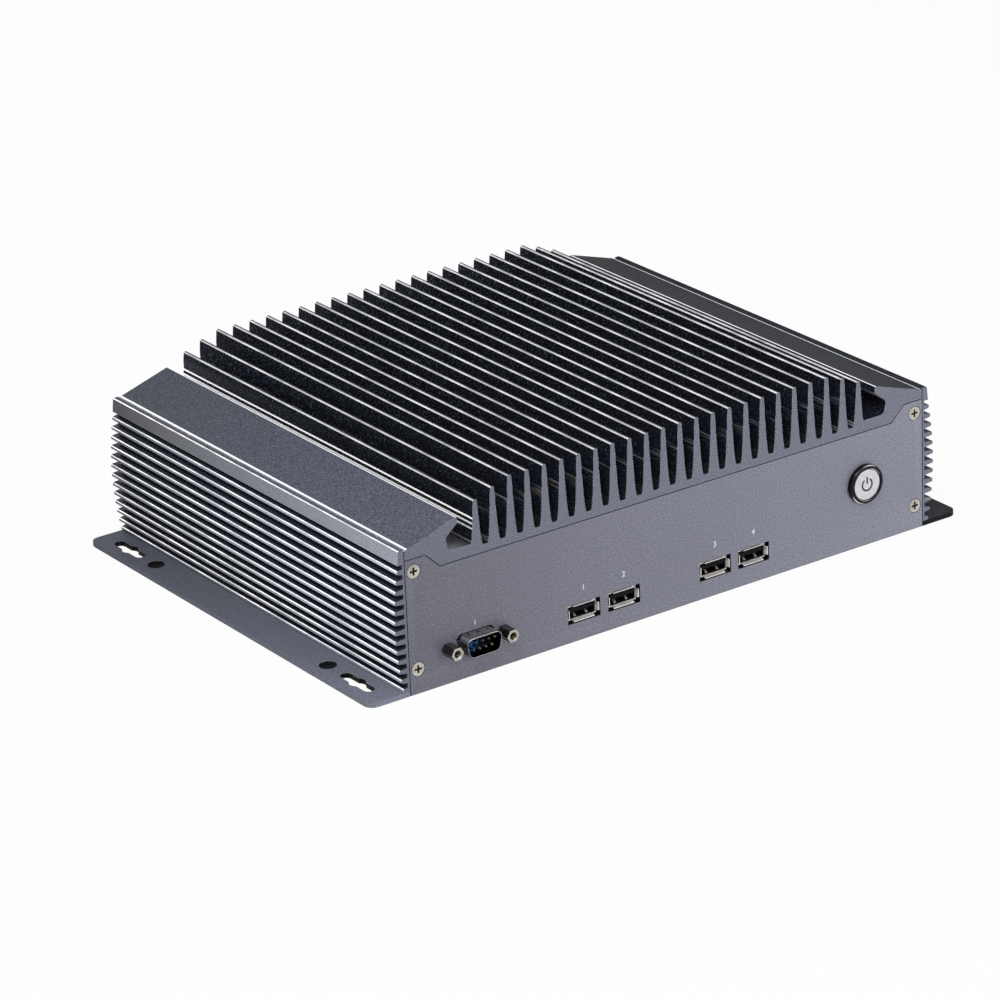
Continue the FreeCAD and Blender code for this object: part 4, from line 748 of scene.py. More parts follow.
@dataclass(frozen=True)
class BoardFinish:
    """Green solder mask over copper tracks, with plated spots."""

    name: str
    mask: Colour = (0.012, 0.075, 0.04)
    track: Colour = (0.03, 0.16, 0.08)
    pad: Colour = (0.65, 0.55, 0.3)
    bare_edge: Colour = (0.4, 0.36, 0.2)
    track_scale: float = 160.0
    track_stretch: Span = (6.0, 0.25)

    def build(self) -> bpy.types.Material:
        """Make the material.

        Returns:
            The material, with stepped tracks that follow the board's own axes.
        """
        graph = Graph(self.name)
        dense, sparse = self.track_stretch
        along = graph.noise(self.track_scale, 0.0, (dense, sparse, 1.0))
        across = graph.noise(self.track_scale, 0.0, (sparse, dense, 1.0))
        choice = graph.spread(graph.noise(22.0, 0.0), 0.49, 0.51)
        other = graph.sum("SUBTRACT", 1.0, choice)
        lines = graph.sum("ADD", graph.both(along, choice), graph.both(across, other))
        tracks = graph.spread(lines, 0.52, 0.545)
        spots = graph.spread(graph.cells(260.0), 0.16, 0.12)
        base = graph.mix(spots, graph.mix(tracks, self.mask, self.track), self.pad)
        base = graph.mix(graph.both(graph.edges(0.2), 0.5), base, self.bare_edge)
        graph.bump(graph.sum("ADD", tracks, spots), 0.4, 0.04)
        roughness = graph.spread(spots, 0.0, 1.0, 0.38, 0.25)
        return graph.finish(base, roughness, graph.spread(spots, 0.0, 1.0, 0.0, 0.9))


@dataclass(frozen=True)
class InkFinish:
    """Screen-printed ink, slightly uneven where it covers the grain."""

    name: str
    tone: Colour

    def build(self) -> bpy.types.Material:
        """Make the material.

        Returns:
            The material.
        """
        graph = Graph(self.name)
        grain = graph.noise(2600.0)
        graph.bump(grain, 0.2, 0.02)
        base = graph.mottled(grain, (0.3, 0.7), self.tone, (0.75, 1.0))
        return graph.finish(base, graph.spread(grain, 0.2, 0.8, 0.5, 0.7), 0.0)


Finish = BlastedFinish | FinFinish | PlatedFinish | GlossRingFinish | MouldedFinish | BoardFinish | InkFinish

FINISHES: dict[Slot, Finish] = {
    Slot.ANODISED: FinFinish("anodised_fins"),
    # Painted light: the panel grows lighter towards the right.
    Slot.PANEL: BlastedFinish("blasted_panel", (0.188, 0.189, 0.231), (0.5, 0.51, 0.58), painted_light_right=1.26),
    # Painted light and shade: the plate grows lighter towards the front and much darker towards the right.
    Slot.PLATE: BlastedFinish("coated_plate", (0.076, 0.08, 0.098), (0.24, 0.25, 0.29), metallic=0.15,
                              roughness=0.5, painted_light_front=1.35, painted_light_right=0.1, gloss=0.05, broad_axis=2,
                              cut_within=(139.6, 95.5)),
    Slot.NICKEL: PlatedFinish("bright_nickel", (0.72, 0.71, 0.69)),
    Slot.SCREW: PlatedFinish("screw_nickel", (0.56, 0.53, 0.48), roughness=0.3, tarnish=0.9, scale=900.0),
    Slot.BLACK_CHROME: PlatedFinish("dark_chrome", (0.035, 0.035, 0.04), roughness=0.1, tarnish=0.2),
    Slot.SATIN: PlatedFinish("satin_cap", (0.62, 0.625, 0.655), roughness=0.36, tarnish=0.15, scale=900.0),
    Slot.SPRING: PlatedFinish("drawn_steel", (0.5, 0.5, 0.52), roughness=0.3, grain=(1.0, 8.0, 1.0)),
    Slot.BRASS: PlatedFinish("turned_brass", (0.72, 0.55, 0.25), roughness=0.25, grain=(1.0, 1.0, 9.0)),
    Slot.GOLD: PlatedFinish("gold_flash", (0.6, 0.47, 0.24), roughness=0.3, tarnish=0.6),
    Slot.BLACK_PLASTIC: MouldedFinish("black_moulding", (0.005, 0.005, 0.006), gloss=0.06),
    Slot.BLUE_PLASTIC: MouldedFinish("blue_moulding", (0.01, 0.085, 0.4), roughness=0.35),
    Slot.GREEN_PLASTIC: MouldedFinish("green_moulding", (0.02, 0.2, 0.06)),
    Slot.RUBBER: MouldedFinish("soft_rubber", (0.005, 0.005, 0.006), roughness=0.7, bump=0.35, gloss=0.15),
    Slot.WIRE: MouldedFinish("wire_sleeve", (0.03, 0.03, 0.034), roughness=0.4, texture=400.0),
    Slot.BOARD: BoardFinish("solder_mask"),
    Slot.CHIP: MouldedFinish("chip_resin", (0.028, 0.028, 0.03), roughness=0.55, texture=1500.0),
    Slot.ALUMINIUM: PlatedFinish("milled_aluminium", (0.78, 0.79, 0.8), roughness=0.34,
                                 grain=(1.0, 14.0, 1.0)),
}


class Paintbox:
    """Makes each finish once and hands it out by slot."""

    def __init__(self) -> None:
        """Start with nothing made."""
        self.made: dict[str, bpy.types.Material] = {}

    def get(self, finish: Finish) -> bpy.types.Material:
        """The material of a finish, made on first use.

        Args:
            finish: the finish wanted.

        Returns:
            Its material.
        """
        if finish.name not in self.made:
            self.made[finish.name] = finish.build()
        return self.made[finish.name]

    def of_slot(self, slot: Slot) -> bpy.types.Material:
        """The material of a record slot."""
        return self.get(FINISHES[slot])


# Pieces


def box_mm(node: str) -> tuple[Vector, Vector]:
    """The lowest and highest corner of a node's box, in millimetres."""
    low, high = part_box(node)
    return low / MM, high / MM


class Workshop:
    """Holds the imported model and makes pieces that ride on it. Its angles are in degrees."""

    weld_within = 0.002
    flat_below = 0.6
    copy_smooth_below = 30.0
    round_above = 34.0

    def __init__(self, frame: dict) -> None:
        """Remember the model.
        """
        self.nodes: dict[str, Piece] = frame["nodes"]
        self.paint = Paintbox()
        self.slots = {part["node"]: Slot(part["material_slot"]) for part in frame["record"]["subparts"]}
        bodies = frame["record"]["behaviour"]["bodies"]
        self.body_of = {node: body for body in Body for node in bodies[body.value]}

    @staticmethod
    def place(piece: Piece, body: Body, slot: Slot, nodes: tuple[str, ...] = ()) -> Piece:
        """Give a new piece its body and hide the nodes that it stands for.

        Args:
            piece: the new object, already in place.
            body: the body that it rides on.
            slot: not used.
            nodes: the nodes that it replaces.

        Returns:
            The same piece.
        """
        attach(piece, body.value)
        if nodes:
            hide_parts(*nodes)
        LOG.info("piece %s rides on %s with %d faces", piece.name, body.value, len(piece.data.polygons))
        return piece

    def repaint(self, piece: Piece, finish: Finish) -> None:
        """Put a finish in every material slot of an object."""
        for place in piece.material_slots:
            place.material = self.paint.get(finish)

    @staticmethod
    def link(name: str, content: bpy.types.ID) -> Piece:
        """Put a mesh or a curve in the scene.

        Args:
            name: what the object is called.
            content: the mesh or the curve.

        Returns:
            The new object.
        """
        piece = bpy.data.objects.new(name, content)
        bpy.context.scene.collection.objects.link(piece)
        return piece

    def shaped(self, name: str, shape: bmesh.types.BMesh, smooth_angle: float = 35.0) -> Piece:
        """Turn a bmesh into an object.

        Args:
            name: what the piece is called.
            shape: the mesh, which is used up.
            smooth_angle: edges that turn less than this many degrees look round.

        Returns:
            The new object.
        """
        mesh = bpy.data.meshes.new(name)
        shape.to_mesh(mesh)
        shape.free()
        mesh.shade_smooth()
        mesh.set_sharp_from_angle(angle=math.radians(smooth_angle))
        return self.link(name, mesh)

    def eased_copy(self, node: str, width: float, segments: int = 2) -> Piece:
        """A copy of a node with its sharp edges slightly rounded, which stands for that node.

        Args:
            node: the node to copy.
            width: how wide the rounding is.
            segments: how many faces it has.

        Returns:
            The dressed copy.
        """
        shape = bmesh.new()
        shape.from_mesh(self.nodes[node].data)
        bmesh.ops.remove_doubles(shape, verts=shape.verts, dist=self.weld_within * MM)
        flat = math.radians(self.flat_below)
        bmesh.ops.dissolve_limit(shape, angle_limit=flat, verts=shape.verts, edges=shape.edges)
        piece = self.shaped("eased_" + node, shape, self.copy_smooth_below)
        rounding = piece.modifiers.new("rounding", "BEVEL")
        rounding.width = width * MM
        rounding.segments = segments
        rounding.limit_method = "ANGLE"
        rounding.angle_limit = math.radians(self.round_above)
        rounding.harden_normals = True
        slot = self.slots[node]
        piece.data.materials.append(self.paint.of_slot(slot))
        return self.place(piece, self.body_of[node], slot, (node,))

    def dress(self, node: str) -> None:
        """Give a node that stays in view the finish of its own slot.

        Args:
            node: the node to dress.
        """
        finish = FINISHES[self.slots[node]]
        self.repaint(self.nodes[node], finish)
        LOG.info("node %s keeps its shape and takes %s", node, finish.name)

    def skinned(self, name: str, loops: list[list[Point]], joined: bool) -> Piece:
        """A skin over a row of loops.

        Args:
            name: what the piece is called.
            loops: the loops in order, each with as many points as the next.
            joined: whether the last loop joins the first; if not, both ends are closed.

        Returns:
            The new object, without a material.
        """
        shape = bmesh.new()
        rings = [[shape.verts.new((x * MM, y * MM, z * MM)) for x, y, z in loop] for loop in loops]
        following = rings[1:] + rings[:1] if joined else rings[1:]
        for here, there in zip(rings, following):
            for index in range(len(here)):
                after = (index + 1) % len(here)
                shape.faces.new((here[index], here[after], there[after], there[index]))
        if not joined:
            shape.faces.new(rings[0])
            shape.faces.new(rings[-1])
        bmesh.ops.recalc_face_normals(shape, faces=shape.faces)
        return self.shaped(name, shape)

    def turned(self, name: str, profile: list[PlanePoint], centre: PlanePoint, steps: int) -> Piece:
        """A round piece turned about an axis along Y.

        Args:
            name: what the piece is called.
            profile: closed loop of (radius, y) points.
            centre: the (x, z) of the axis.
            steps: how many faces go round.

        Returns:
            The new object, without a material.
        """
        loops = []
        for step in range(steps):
            turn = 2 * math.pi * step / steps
            right, up = math.cos(turn), math.sin(turn)
            loops.append([(centre[0] + radius * right, y, centre[1] + radius * up) for radius, y in profile])
        return self.skinned(name, loops, joined=True)


def rounded_outline(corners: list[PlanePoint], radius: float, steps: int = 8) -> list[PlanePoint]:
    """A closed outline with its corners turned into arcs.

    Args:
        corners: the corners in order.
        radius: the radius of the arcs.
        steps: how many straight runs each arc has.

    Returns:
        The points of the rounded outline.
    """
    points = []
    count = len(corners)
    for index, corner in enumerate(corners):
        here = Vector(corner)
        before = (Vector(corners[index - 1]) - here).normalized()
        after = (Vector(corners[(index + 1) % count]) - here).normalized()
        half = before.angle(after) / 2
        centre = here + (before + after).normalized() * (radius / math.sin(half))
        start = here + before * (radius / math.tan(half)) - centre
        end = here + after * (radius / math.tan(half)) - centre
        for step in range(steps + 1):
            arm = start.lerp(end, step / steps).normalized() * radius
            points.append(tuple(centre + arm))
    return points


# Sub-assemblies


@dataclass
class Heatsinks:
    """The top extrusion with its fins and both side walls."""

    shop: Workshop

    def build(self) -> None:
        """Dress the three extrusions, whose edges are already machined in the model."""
        for node in ("top_heatsink", "left_side_heatsink", "right_side_heatsink"):
            self.shop.dress(node)


@dataclass
class Panels:
    """The front and rear panels, the bottom plate and the plugs of its round holes."""

    shop: Workshop
    panel_easing: float = 0.15
    plate_easing: float = 0.2
    plug_easing: float = 0.08

    def build(self) -> None:
        """Round the edges of the sheets and dress them."""
        self.shop.eased_copy("front_panel", self.panel_easing)
        self.shop.eased_copy("rear_panel", self.panel_easing)
        self.shop.eased_copy("bottom_plate", self.plate_easing)
        self.shop.eased_copy("mounting_hole_plugs", self.plug_easing)


@dataclass
class CaseScrews:
    """The cross-headed screws that hold the case together."""

    shop: Workshop
    easing: float = 0.07
    recess_reach: float = 1.72
    recess_from: float = 0.1
    recess_to: float = 1.15

    def build(self) -> None:
        """Round the heads and darken their driver recesses."""
        # The driver recesses take a darker brown finish.
        recess_tone = PlatedFinish("recess_brown", (0.11, 0.07, 0.045), roughness=0.5, tarnish=0.6)
        for node in ("front_panel_screws", "rear_panel_screws", "bottom_plate_screws", "top_heatsink_screws"):
            piece = self.shop.eased_copy(node, self.easing)
            piece.data.materials.append(self.shop.paint.get(recess_tone))
            self.darken_recesses(piece, Vector((0, 1, 0)) if "panel" in node else Vector((0, 0, 1)))

    def darken_recesses(self, piece: Piece, axis: Vector) -> None:
        """Give the walls and floors of the driver recesses the darker brown finish.

        Args:
            piece: the dressed screws.
            axis: the axis of the screws. Those along Y have their heads outwards, those along Z downwards.
        """
        shape = bmesh.new()
        shape.from_mesh(piece.data)
        for island in self.islands(shape):
            middle = sum((vertex.co for vertex in island), Vector()) / len(island)
            depths = [vertex.co.dot(axis) for vertex in island]
            head_end = max(depths) if axis.y and middle.y >= 0 else min(depths)
            for face in {face for vertex in island for face in vertex.link_faces}:
                spot = face.calc_center_median()
                off_axis = (spot - middle) - axis * (spot - middle).dot(axis)
                depth = abs(spot.dot(axis) - head_end)
                narrow = off_axis.length < self.recess_reach * MM
                if narrow and self.recess_from * MM < depth < self.recess_to * MM and self.is_cut(face, axis):
                    face.material_index = 1
        shape.to_mesh(piece.data)
        shape.free()

    @staticmethod
    def is_cut(face: bmesh.types.BMFace, axis: Vector) -> bool:
        """Whether a face is a flat floor or wall of a recess, and not part of the round shank."""
        return abs(face.normal.dot(axis)) > 0.9 or max(abs(part) for part in face.normal) > 0.999

    @staticmethod
    def islands(shape: bmesh.types.BMesh) -> list[list[bmesh.types.BMVert]]:
        """The separate screws of a mesh.

        Args:
            shape: the mesh of all the screws.

        Returns:
            The vertices of each screw.
        """
        found = []
        seen = set()
        for start in shape.verts:
            if start in seen:
                continue
            island = []
            waiting = [start]
            seen.add(start)
            while waiting:
                vertex = waiting.pop()
                island.append(vertex)
                for edge in vertex.link_edges:
                    other = edge.other_vert(vertex)
                    if other not in seen:
                        seen.add(other)
                        waiting.append(other)
            found.append(island)
        return found


@dataclass
class UsbPorts:
    """The four sockets on the front panel, with the spring tabs that hold a plug."""

    shop: Workshop
    count: int = 4
    shell_easing: float = 0.08
    tongue_easing: float = 0.12
    lip_depth: float = 1.7
    tab_offset: float = 2.7
    tab_setback: float = 0.6
    tab_width: float = 1.0
    tab_depth: float = 1.5
    tab_thickness: float = 0.2
    tab_route: tuple[PlanePoint, ...] = ((0.0, 0.0), (0.5, 0.75), (0.75, 0.85), (1.0, 0.55))
    floor_rise: float = 1.35

    def build(self) -> None:
        """Round the folded shells and the tongues, add the tabs and dress the contacts."""
        # Painted light and shade: the shells take a nickel lighter than the bright nickel, with painted shade
        # beyond the lip and on downward faces.
        shade_from = box_mm("front_usb_shell_1")[0].y + self.lip_depth
        folded = PlatedFinish("folded_nickel", (0.95, 0.93, 0.9), roughness=0.35, tarnish=0.25, metallic=0.7,
                              shade_from=shade_from, shaded_below=0.2)
        for number in range(1, self.count + 1):
            self.shop.repaint(self.shop.eased_copy("front_usb_shell_%d" % number, self.shell_easing), folded)
            self.add_tab(number, -1)
            self.add_tab(number, 1)
        self.shop.eased_copy("usb_tongues", self.tongue_easing)
        self.shop.dress("front_usb_contacts")

    def add_tab(self, number: int, side: int) -> None:
        """Bend one spring tab up from the floor of a shell.

        Args:
            number: which socket.
            side: -1 for the left tab and 1 for the right one.
        """
        low, high = box_mm("front_usb_shell_%d" % number)
        middle = (low.x + high.x) / 2 + side * self.tab_offset
        left, right = middle - self.tab_width / 2, middle + self.tab_width / 2
        start = low.y + self.lip_depth + self.tab_setback
        floor = low.z + self.floor_rise
        loops = []
        for share, rise in self.tab_route:
            y, z, top = start + share * self.tab_depth, floor + rise, floor + rise + self.tab_thickness
            loops.append([(left, y, z), (right, y, z), (right, y, top), (left, y, top)])
        name = "usb_tab_%d_%s" % (number, "left" if side < 0 else "right")
        piece = self.shop.skinned(name, loops, joined=False)
        sprung = PlatedFinish("sprung_tab", (0.36, 0.29, 0.25), roughness=0.4, tarnish=0.5, metallic=0.6)
        piece.data.materials.append(self.shop.paint.get(sprung))
        self.shop.place(piece, Body.CASE, Slot.NICKEL)


@dataclass
class SerialPort:
    """The nine-way port: its drawn shell, insulator, pins and jackscrews."""

    shop: Workshop
    width: float = 16.6
    height: float = 8.0
    slant: float = 1.45
    sheet: float = 0.4
    corner: float = 2.6
    lip: float = 0.16
    lip_turn: float = 0.3
    flange_thickness: float = 0.8
    flange_corner: float = 0.8
    inner_stations_from: int = 6
    dimple_radius: float = 0.7
    dimple_depth: float = 0.16
    dimple_back: float = 3.7
    dimple_xs: Point = (-4.2, 0.0, 4.2)
    insulator_easing: float = 0.1
    lit_depth: float = 0.3
    lit_share: Span = (-0.7, 0.15)
    screw_easing: float = 0.12
    bore: float = 1.25
    bore_from: float = 0.4
    bore_steps: int = 40
    thread_from: float = 0.5
    thread_pitch: float = 0.5
    thread_depth: float = 0.16
    thread_crest: float = 0.02
    thread_turns: int = 10

    def __post_init__(self) -> None:
        """Read where the shell lies."""
        self.low, self.high = box_mm("serial_port_shell")
        self.centre = ((self.low.x + self.high.x) / 2, (self.low.z + self.high.z) / 2)

    def build(self) -> None:
        """Make the shell with its rolled lip and dimples, then dress the rest."""
        self.make_shell()
        lit_span = tuple(self.centre[0] + share * self.width / 2 for share in self.lit_share)
        shade_from = box_mm("serial_port_insulator")[0].y + self.lit_depth
        shadowed = MouldedFinish("shadowed_insulator", (0.02, 0.22, 0.85), roughness=0.4, gloss=0.05,
                                 shade_from=shade_from, fade_shade_span=lit_span)
        self.shop.repaint(self.shop.eased_copy("serial_port_insulator", self.insulator_easing), shadowed)
        # Painted shade: the pins are dark brown where the shell shades them.
        dull = PlatedFinish("dull_pin", (0.2, 0.13, 0.08), roughness=0.45, tarnish=0.7)
        self.shop.repaint(self.shop.nodes["serial_port_pins"], dull)
        self.make_jackscrews()

    def outline(self, inset: float) -> list[PlanePoint]:
        """The rounded trapezium of the shell, seen from the front.

        Args:
            inset: how far it lies inside the outer outline.

        Returns:
            The (x, z) points.
        """
        half = self.width / 2 - inset
        tall = self.height / 2 - inset
        corners = [(-half + self.slant, -tall), (half - self.slant, -tall), (half, tall), (-half, tall)]
        points = rounded_outline(corners, self.corner - inset)
        return [(self.centre[0] + x, self.centre[1] + z) for x, z in points]

    def make_shell(self) -> None:
        """Draw the shell from the flange to its mouth and back inside."""
        low, high = self.low, self.high
        mouth, back, panel = low.y, high.y, high.y - self.flange_thickness
        corners = [(low.x, low.z), (high.x, low.z), (high.x, high.z), (low.x, high.z)]
        flange = rounded_outline(corners, self.flange_corner)
        start = self.lip * self.lip_turn
        stations = [(flange, back), (flange, panel), (self.outline(0.0), panel)]
        roll = ((0.0, self.lip), (start, start), (self.sheet / 2, 0.0), (self.sheet - start, start),
                (self.sheet, self.lip))
        stations += [(self.outline(inset), mouth + setback) for inset, setback in roll]
        stations.append((self.outline(self.sheet), back))
        loops = [[(x, y, z) for x, z in points] for points, y in stations]
        shell = self.shop.skinned("drawn_serial_shell", loops, joined=True)
        # Painted shade: the inner faces of the shell take the dark chrome.
        for face in shell.data.polygons:
            if face.index >= self.inner_stations_from * len(flange):
                face.material_index = 1
        self.add_dimples(shell)
        # Painted shade: the drawn shell takes a nickel darker than the bright nickel of the other ports.
        drawn = PlatedFinish("drawn_nickel", (0.34, 0.335, 0.32), roughness=0.26, tarnish=0.8,
                             shaded_below=0.25)
        shell.data.materials.append(self.shop.paint.get(drawn))
        shell.data.materials.append(self.shop.paint.of_slot(Slot.BLACK_CHROME))
        self.shop.place(shell, Body.CASE, Slot.NICKEL, ("serial_port_shell",))

    def add_dimples(self, shell: Piece) -> None:
        """Set the grip dimples on the top and bottom of the shell, close to the panel.

        Args:
            shell: the shell, which gains small flat domes in its second material, dark chrome as painted
                shade.
        """
        shape = bmesh.new()
        shape.from_mesh(shell.data)
        y = self.high.y - self.flange_thickness - self.dimple_back
        squash = Matrix.Diagonal((1.0, 1.0, self.dimple_depth, 1.0))
        for side in (1, -1):
            for x in self.dimple_xs:
                spot = Vector((self.centre[0] + x, y, self.centre[1] + side * self.height / 2)) * MM
                made = bmesh.ops.create_uvsphere(shape, u_segments=20, v_segments=10,
                                                 radius=self.dimple_radius * MM,
                                                 matrix=Matrix.Translation(spot) @ squash)
                for face in {face for vertex in made["verts"] for face in vertex.link_faces}:
                    face.material_index = 1
        shape.to_mesh(shell.data)
        shape.free()

    def make_jackscrews(self) -> None:
        """Round the jackscrews and cut a thread in each bore."""
        screws = self.shop.eased_copy("serial_port_jackscrews", self.screw_easing)
        # Tarnish, and painted shade on the side faces of the jackscrews.
        tarnish_and_shade = PlatedFinish("jackscrew_tarnish_and_shade", (0.5, 0.48, 0.44), roughness=0.25, tarnish=0.5,
                            flank_level=0.16)
        self.shop.repaint(screws, tarnish_and_shade)
        # A dark brown tone for the threads in the bores.
        thread_tone = PlatedFinish("dark_brown_thread", (0.2, 0.13, 0.08), roughness=0.4, tarnish=0.6)
        low, high = box_mm("serial_port_jackscrews")
        height = (high.z + low.z) / 2
        offset = (high.x - low.x) / 2 - (high.z - low.z) / math.sqrt(3.0)
        first = low.y + self.thread_from
        profile = [(self.bore, low.y + self.bore_from)]
        for turn in range(self.thread_turns):
            start = first + turn * self.thread_pitch
            profile.append((self.bore - self.thread_crest, start))
            profile.append((self.bore - self.thread_depth, start + self.thread_pitch / 2))
        profile.append((self.bore, first + self.thread_turns * self.thread_pitch))
        for number, side in enumerate((-1, 1), start=1):
            centre = ((high.x + low.x) / 2 + side * offset, height)
            thread = self.shop.turned("jackscrew_thread_%d" % number, profile, centre, self.bore_steps)
            thread.data.materials.append(self.shop.paint.get(thread_tone))
            self.shop.place(thread, Body.CASE, Slot.NICKEL)


@dataclass
class PowerButton:
    """The push button: its bezel ring, cap and on/off symbol."""

    shop: Workshop
    mouth: float = 6.5
    mouth_easing: float = 0.35
    round_over: float = 0.9
    barrel_radius: float = 7.6
    barrel_bore: float = 7.1
    lip_thickness: float = 1.3
    bezel_steps: int = 128
    cap_easing: float = 0.07
    symbol_easing: float = 0.02
    symbol_swell: float = 0.12

    def build(self) -> None:
        """Turn the bezel, round the cap and make the symbol bolder."""
        self.turn_bezel()
        self.shop.eased_copy("power_button_cap", self.cap_easing)
        symbol = self.shop.eased_copy("power_button_symbol", self.symbol_easing, 1)
        self.shop.repaint(symbol, InkFinish("symbol_enamel", (0.006, 0.006, 0.008)))
        swelling = symbol.modifiers.new("swelling", "DISPLACE")
        swelling.strength = self.symbol_swell * MM
        swelling.mid_level = 0.0

    def turn_bezel(self) -> None:
        """Turn the ring, with its rounded outer edge, eased mouth and hollow barrel."""
        low, high = box_mm("power_button_bezel")
        panel = box_mm("front_panel")[0].y
        radius = (high.x - low.x) / 2
        lip_back = low.y + self.lip_thickness
        outer, inner = self.round_over, self.mouth_easing
        profile = [
            (radius, panel),
            *self.quarter((radius - outer, low.y + outer), outer, 0.0, 8),
            *self.quarter((self.mouth + inner, low.y + inner), inner, 90.0, 4),
            (self.mouth, lip_back),
            (self.barrel_bore, lip_back),
            (self.barrel_bore, high.y),
            (self.barrel_radius, high.y),
            (self.barrel_radius, panel),
        ]
        centre = ((low.x + high.x) / 2, (low.z + high.z) / 2)
        bezel = self.shop.turned("turned_bezel", profile, centre, self.bezel_steps)
        bezel.data.materials.append(self.shop.paint.get(GlossRingFinish("gloss_ring")))
        self.shop.place(bezel, Body.CASE, Slot.BLACK_CHROME, ("power_button_bezel",))

    @staticmethod
    def quarter(middle: PlanePoint, radius: float, start: float, steps: int) -> list[PlanePoint]:
        """A quarter turn of a profile.

        Args:
            middle: the (radius, y) of its centre.
            radius: its own radius.
            start: the angle at which it starts, in degrees.
            steps: how many straight runs it has.

        Returns:
            Its (radius, y) points.
        """
        turns = [math.radians(start + 90.0 * step / steps) for step in range(steps + 1)]
        return [(middle[0] + radius * math.cos(turn), middle[1] - radius * math.sin(turn)) for turn in turns]


@dataclass
class PortNumbers:
    """The printed number above each front port."""

    shop: Workshop
    height: float = 21.0
    usb_size: float = 3.2
    serial_size: float = 2.6
    boldness: float = 0.04
    film: float = 0.03

    def build(self) -> None:
        """Print one number for each port."""
        for figure in "1234":
            self.print_number("usb_number_" + figure, figure, "front_usb_shell_" + figure, self.usb_size)
        self.print_number("serial_number", "1", "serial_port_shell", self.serial_size)

    def print_number(self, name: str, figure: str, node: str, size: float) -> None:
        """Print a figure on the panel, above a port.

        Args:
            name: what the piece is called.
            figure: what is printed.
            node: the node of the port.
            size: the height of the type.
        """
        curve = bpy.data.curves.new(name, "FONT")
        curve.body = figure
        curve.size = size * MM
        curve.align_x = "CENTER"
        curve.align_y = "CENTER"
        curve.extrude = self.film / 2 * MM
        curve.offset = self.boldness * MM
        writing = self.shop.link(name + "_curve", curve)
        bpy.context.view_layer.update()
        mesh = bpy.data.meshes.new_from_object(writing.evaluated_get(bpy.context.evaluated_depsgraph_get()))
        bpy.data.objects.remove(writing)
        low, high = box_mm(node)
        spot = Vector(((low.x + high.x) / 2, box_mm("front_panel")[0].y - self.film / 2, self.height)) * MM
        mesh.transform(Matrix.Translation(spot) @ Matrix.Rotation(math.pi / 2, 4, "X"))
        mesh.materials.clear()
        mesh.materials.append(self.shop.paint.get(InkFinish("pale_print", (0.72, 0.73, 0.76))))
        self.shop.place(self.shop.link(name, mesh), Body.CASE, Slot.PANEL)


@dataclass
class RearPorts:
    """The sockets on the back of the computer, with painted shade inside."""

    shop: Workshop
    easing: float = 0.1
    mouth_depth: float = 1.0

    def build(self) -> None:
        """Round and dress the sockets, shells and plugs."""
        for node in ("network_sockets", "rear_usb_shells", "display_socket"):
            # Painted shade beyond the mouth of each socket.
            plated = PlatedFinish("plated_" + node, (0.72, 0.71, 0.69), roughness=0.28,
                                  shade_before=box_mm(node)[1].y - self.mouth_depth)
            self.shop.repaint(self.shop.eased_copy(node, self.easing), plated)
        self.shop.eased_copy("power_inlet", self.easing)
        self.shop.eased_copy("antenna_hole_plugs", self.easing)


@dataclass
class InsideParts:
    """Everything behind the panels, which keeps its shape from the model."""

    shop: Workshop
    dressed_before: tuple[str, ...] = ("serial_port_pins",)

    def build(self) -> None:
        """Dress each node that no piece has replaced."""
        for name, node in self.shop.nodes.items():
            dressed = self.shop.slots[name] is Slot.ANODISED or name in self.dressed_before
            if not (node.hide_render or dressed):
                self.shop.dress(name)


# Studio


@dataclass(frozen=True)
class Lamp:
    """A soft square lamp that looks at the middle of the computer, with its power in watts."""

    name: str
    place: Point
    size: float
    power: float

    def hang(self) -> None:
        """Put the lamp in the scene."""
        lamp = bpy.data.lights.new(self.name, "AREA")
        lamp.energy = self.power
        lamp.size = self.size * MM
        holder = bpy.data.objects.new(self.name, lamp)
        bpy.context.scene.collection.objects.link(holder)
        holder.location = Vector(self.place) * MM
        holder.rotation_euler = (-holder.location).to_track_quat("-Z", "Y").to_euler()


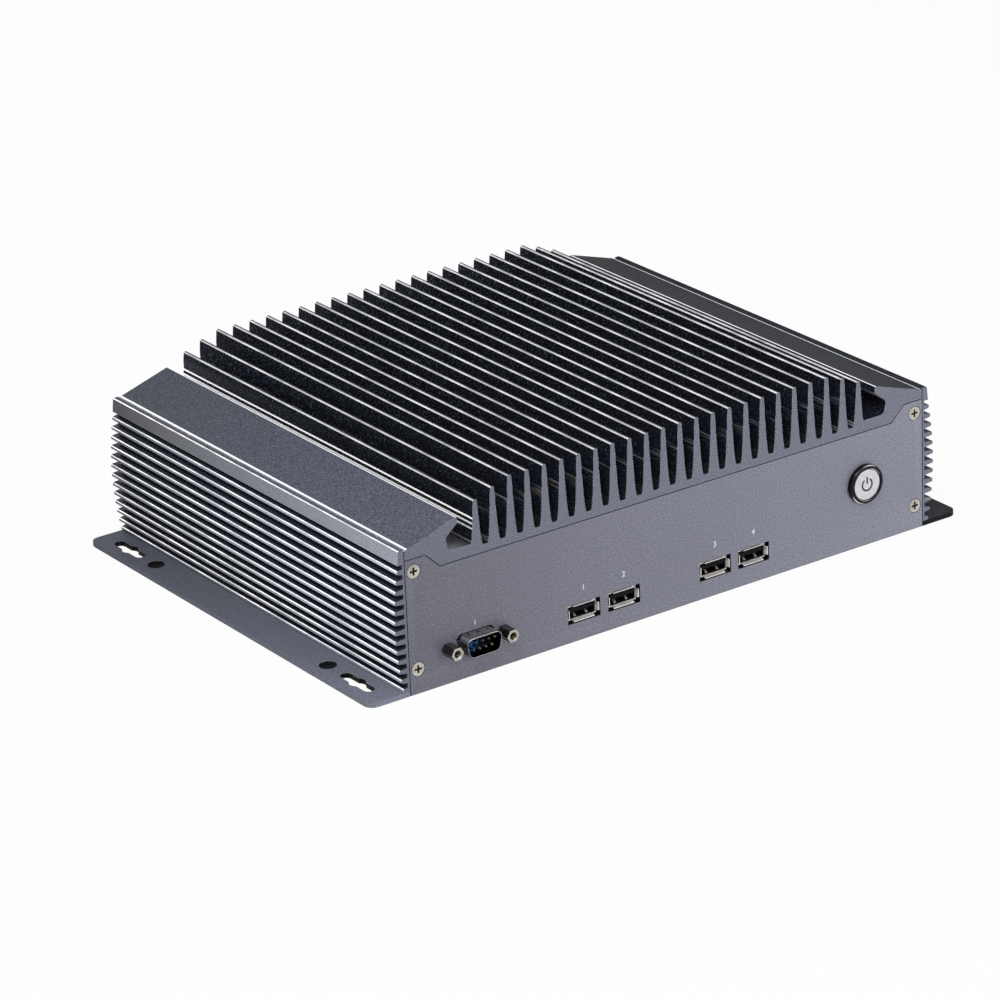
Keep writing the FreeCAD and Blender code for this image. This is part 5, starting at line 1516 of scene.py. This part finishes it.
@dataclass
class Studio:
    """A plain pale floor, soft lamps and the camera."""

    lamps: tuple[Lamp, ...] = (
        Lamp("key_lamp", (-800.0, -900.0, 1500.0), 800.0, 20.0),
        Lamp("fill_lamp", (500.0, -1800.0, 600.0), 900.0, 14.0),
        Lamp("rear_lamp", (-600.0, 1400.0, 1200.0), 900.0, 5.0),
    )
    air: Colour = (0.9, 0.94, 1.0)
    air_strength: float = 0.35
    paper: Colour = (0.8, 0.8, 0.8)
    paper_glow: float = 0.95
    floor_half: float = 6000.0
    azimuth: float = -34.466
    elevation: float = 22.705
    roll: float = 2.370
    lens: float = 165.99
    sensor: float = 36.0
    clip_end: float = 50000.0
    shift_right: float = -9.025
    shift_up: float = 11.643
    distance: float = 1828.5

    def build(self) -> None:
        """Set up the whole studio."""
        bpy.context.scene.view_settings.view_transform = "Standard"
        self.make_world()
        self.make_floor()
        for lamp in self.lamps:
            lamp.hang()
        self.make_camera()

    def make_world(self) -> None:
        """Light everything evenly, and show white behind it."""
        world = bpy.data.worlds.new("studio_air")
        bpy.context.scene.world = world
        tree = NodeTree(world)
        lighting = tree.add("Background", {"Color": self.air, "Strength": self.air_strength})
        backdrop = tree.add("Background", {"Color": WHITE, "Strength": 1.0})
        tree.add("OutputWorld", {"Surface": tree.blend(tree.seen_directly(), lighting, backdrop)})

    def make_floor(self) -> None:
        """Lay a white floor that keeps a soft shadow."""
        half = self.floor_half * MM
        mesh = bpy.data.meshes.new("studio_floor")
        corners = [(-half, -half, 0), (half, -half, 0), (half, half, 0), (-half, half, 0)]
        mesh.from_pydata(corners, [], [(0, 1, 2, 3)])
        floor = bpy.data.objects.new("studio_floor", mesh)
        bpy.context.scene.collection.objects.link(floor)
        material = bpy.data.materials.new("white_floor")
        tree = NodeTree(material)
        paper = tree.add("BsdfDiffuse", {"Color": self.paper})
        glow = tree.add("Emission", {"Color": WHITE})
        share = tree.sum("MULTIPLY", tree.seen_directly(), self.paper_glow)
        tree.add("OutputMaterial", {"Surface": tree.blend(share, paper, glow)})
        mesh.materials.append(material)

    def make_camera(self) -> None:
        """Stand the camera where it looks down on the left front corner."""
        turn = math.radians(self.azimuth)
        lift = math.radians(self.elevation)
        back = Vector((math.sin(turn) * math.cos(lift), -math.cos(turn) * math.cos(lift), math.sin(lift)))
        right = Vector((math.cos(turn), math.sin(turn), 0.0))
        level = Matrix((right, back.cross(right), back))
        facing = (Matrix.Rotation(math.radians(self.roll), 3, "Z") @ level).transposed()
        data = bpy.data.cameras.new("camera")
        data.lens = self.lens
        data.sensor_width = self.sensor
        data.clip_end = self.clip_end * MM
        camera = bpy.data.objects.new("camera", data)
        bpy.context.scene.collection.objects.link(camera)
        spot = facing @ Vector((self.shift_right, self.shift_up, self.distance)) * MM
        camera.matrix_world = Matrix.Translation(spot) @ facing.to_4x4()
        bpy.context.scene.camera = camera


def main(frame: dict) -> None:
    """Build every sub-assembly in order.
    """
    logging.basicConfig(level=logging.INFO, format="%(name)s: %(message)s")
    shop = Workshop(frame)
    for assembly in (Heatsinks(shop), Panels(shop), CaseScrews(shop), UsbPorts(shop), SerialPort(shop),
                     PowerButton(shop), PortNumbers(shop), RearPorts(shop), InsideParts(shop)):
        assembly.build()
        LOG.info("%s done", type(assembly).__name__)
    Studio().build()


if __name__ == "__main__":
    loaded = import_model()
    main(loaded)
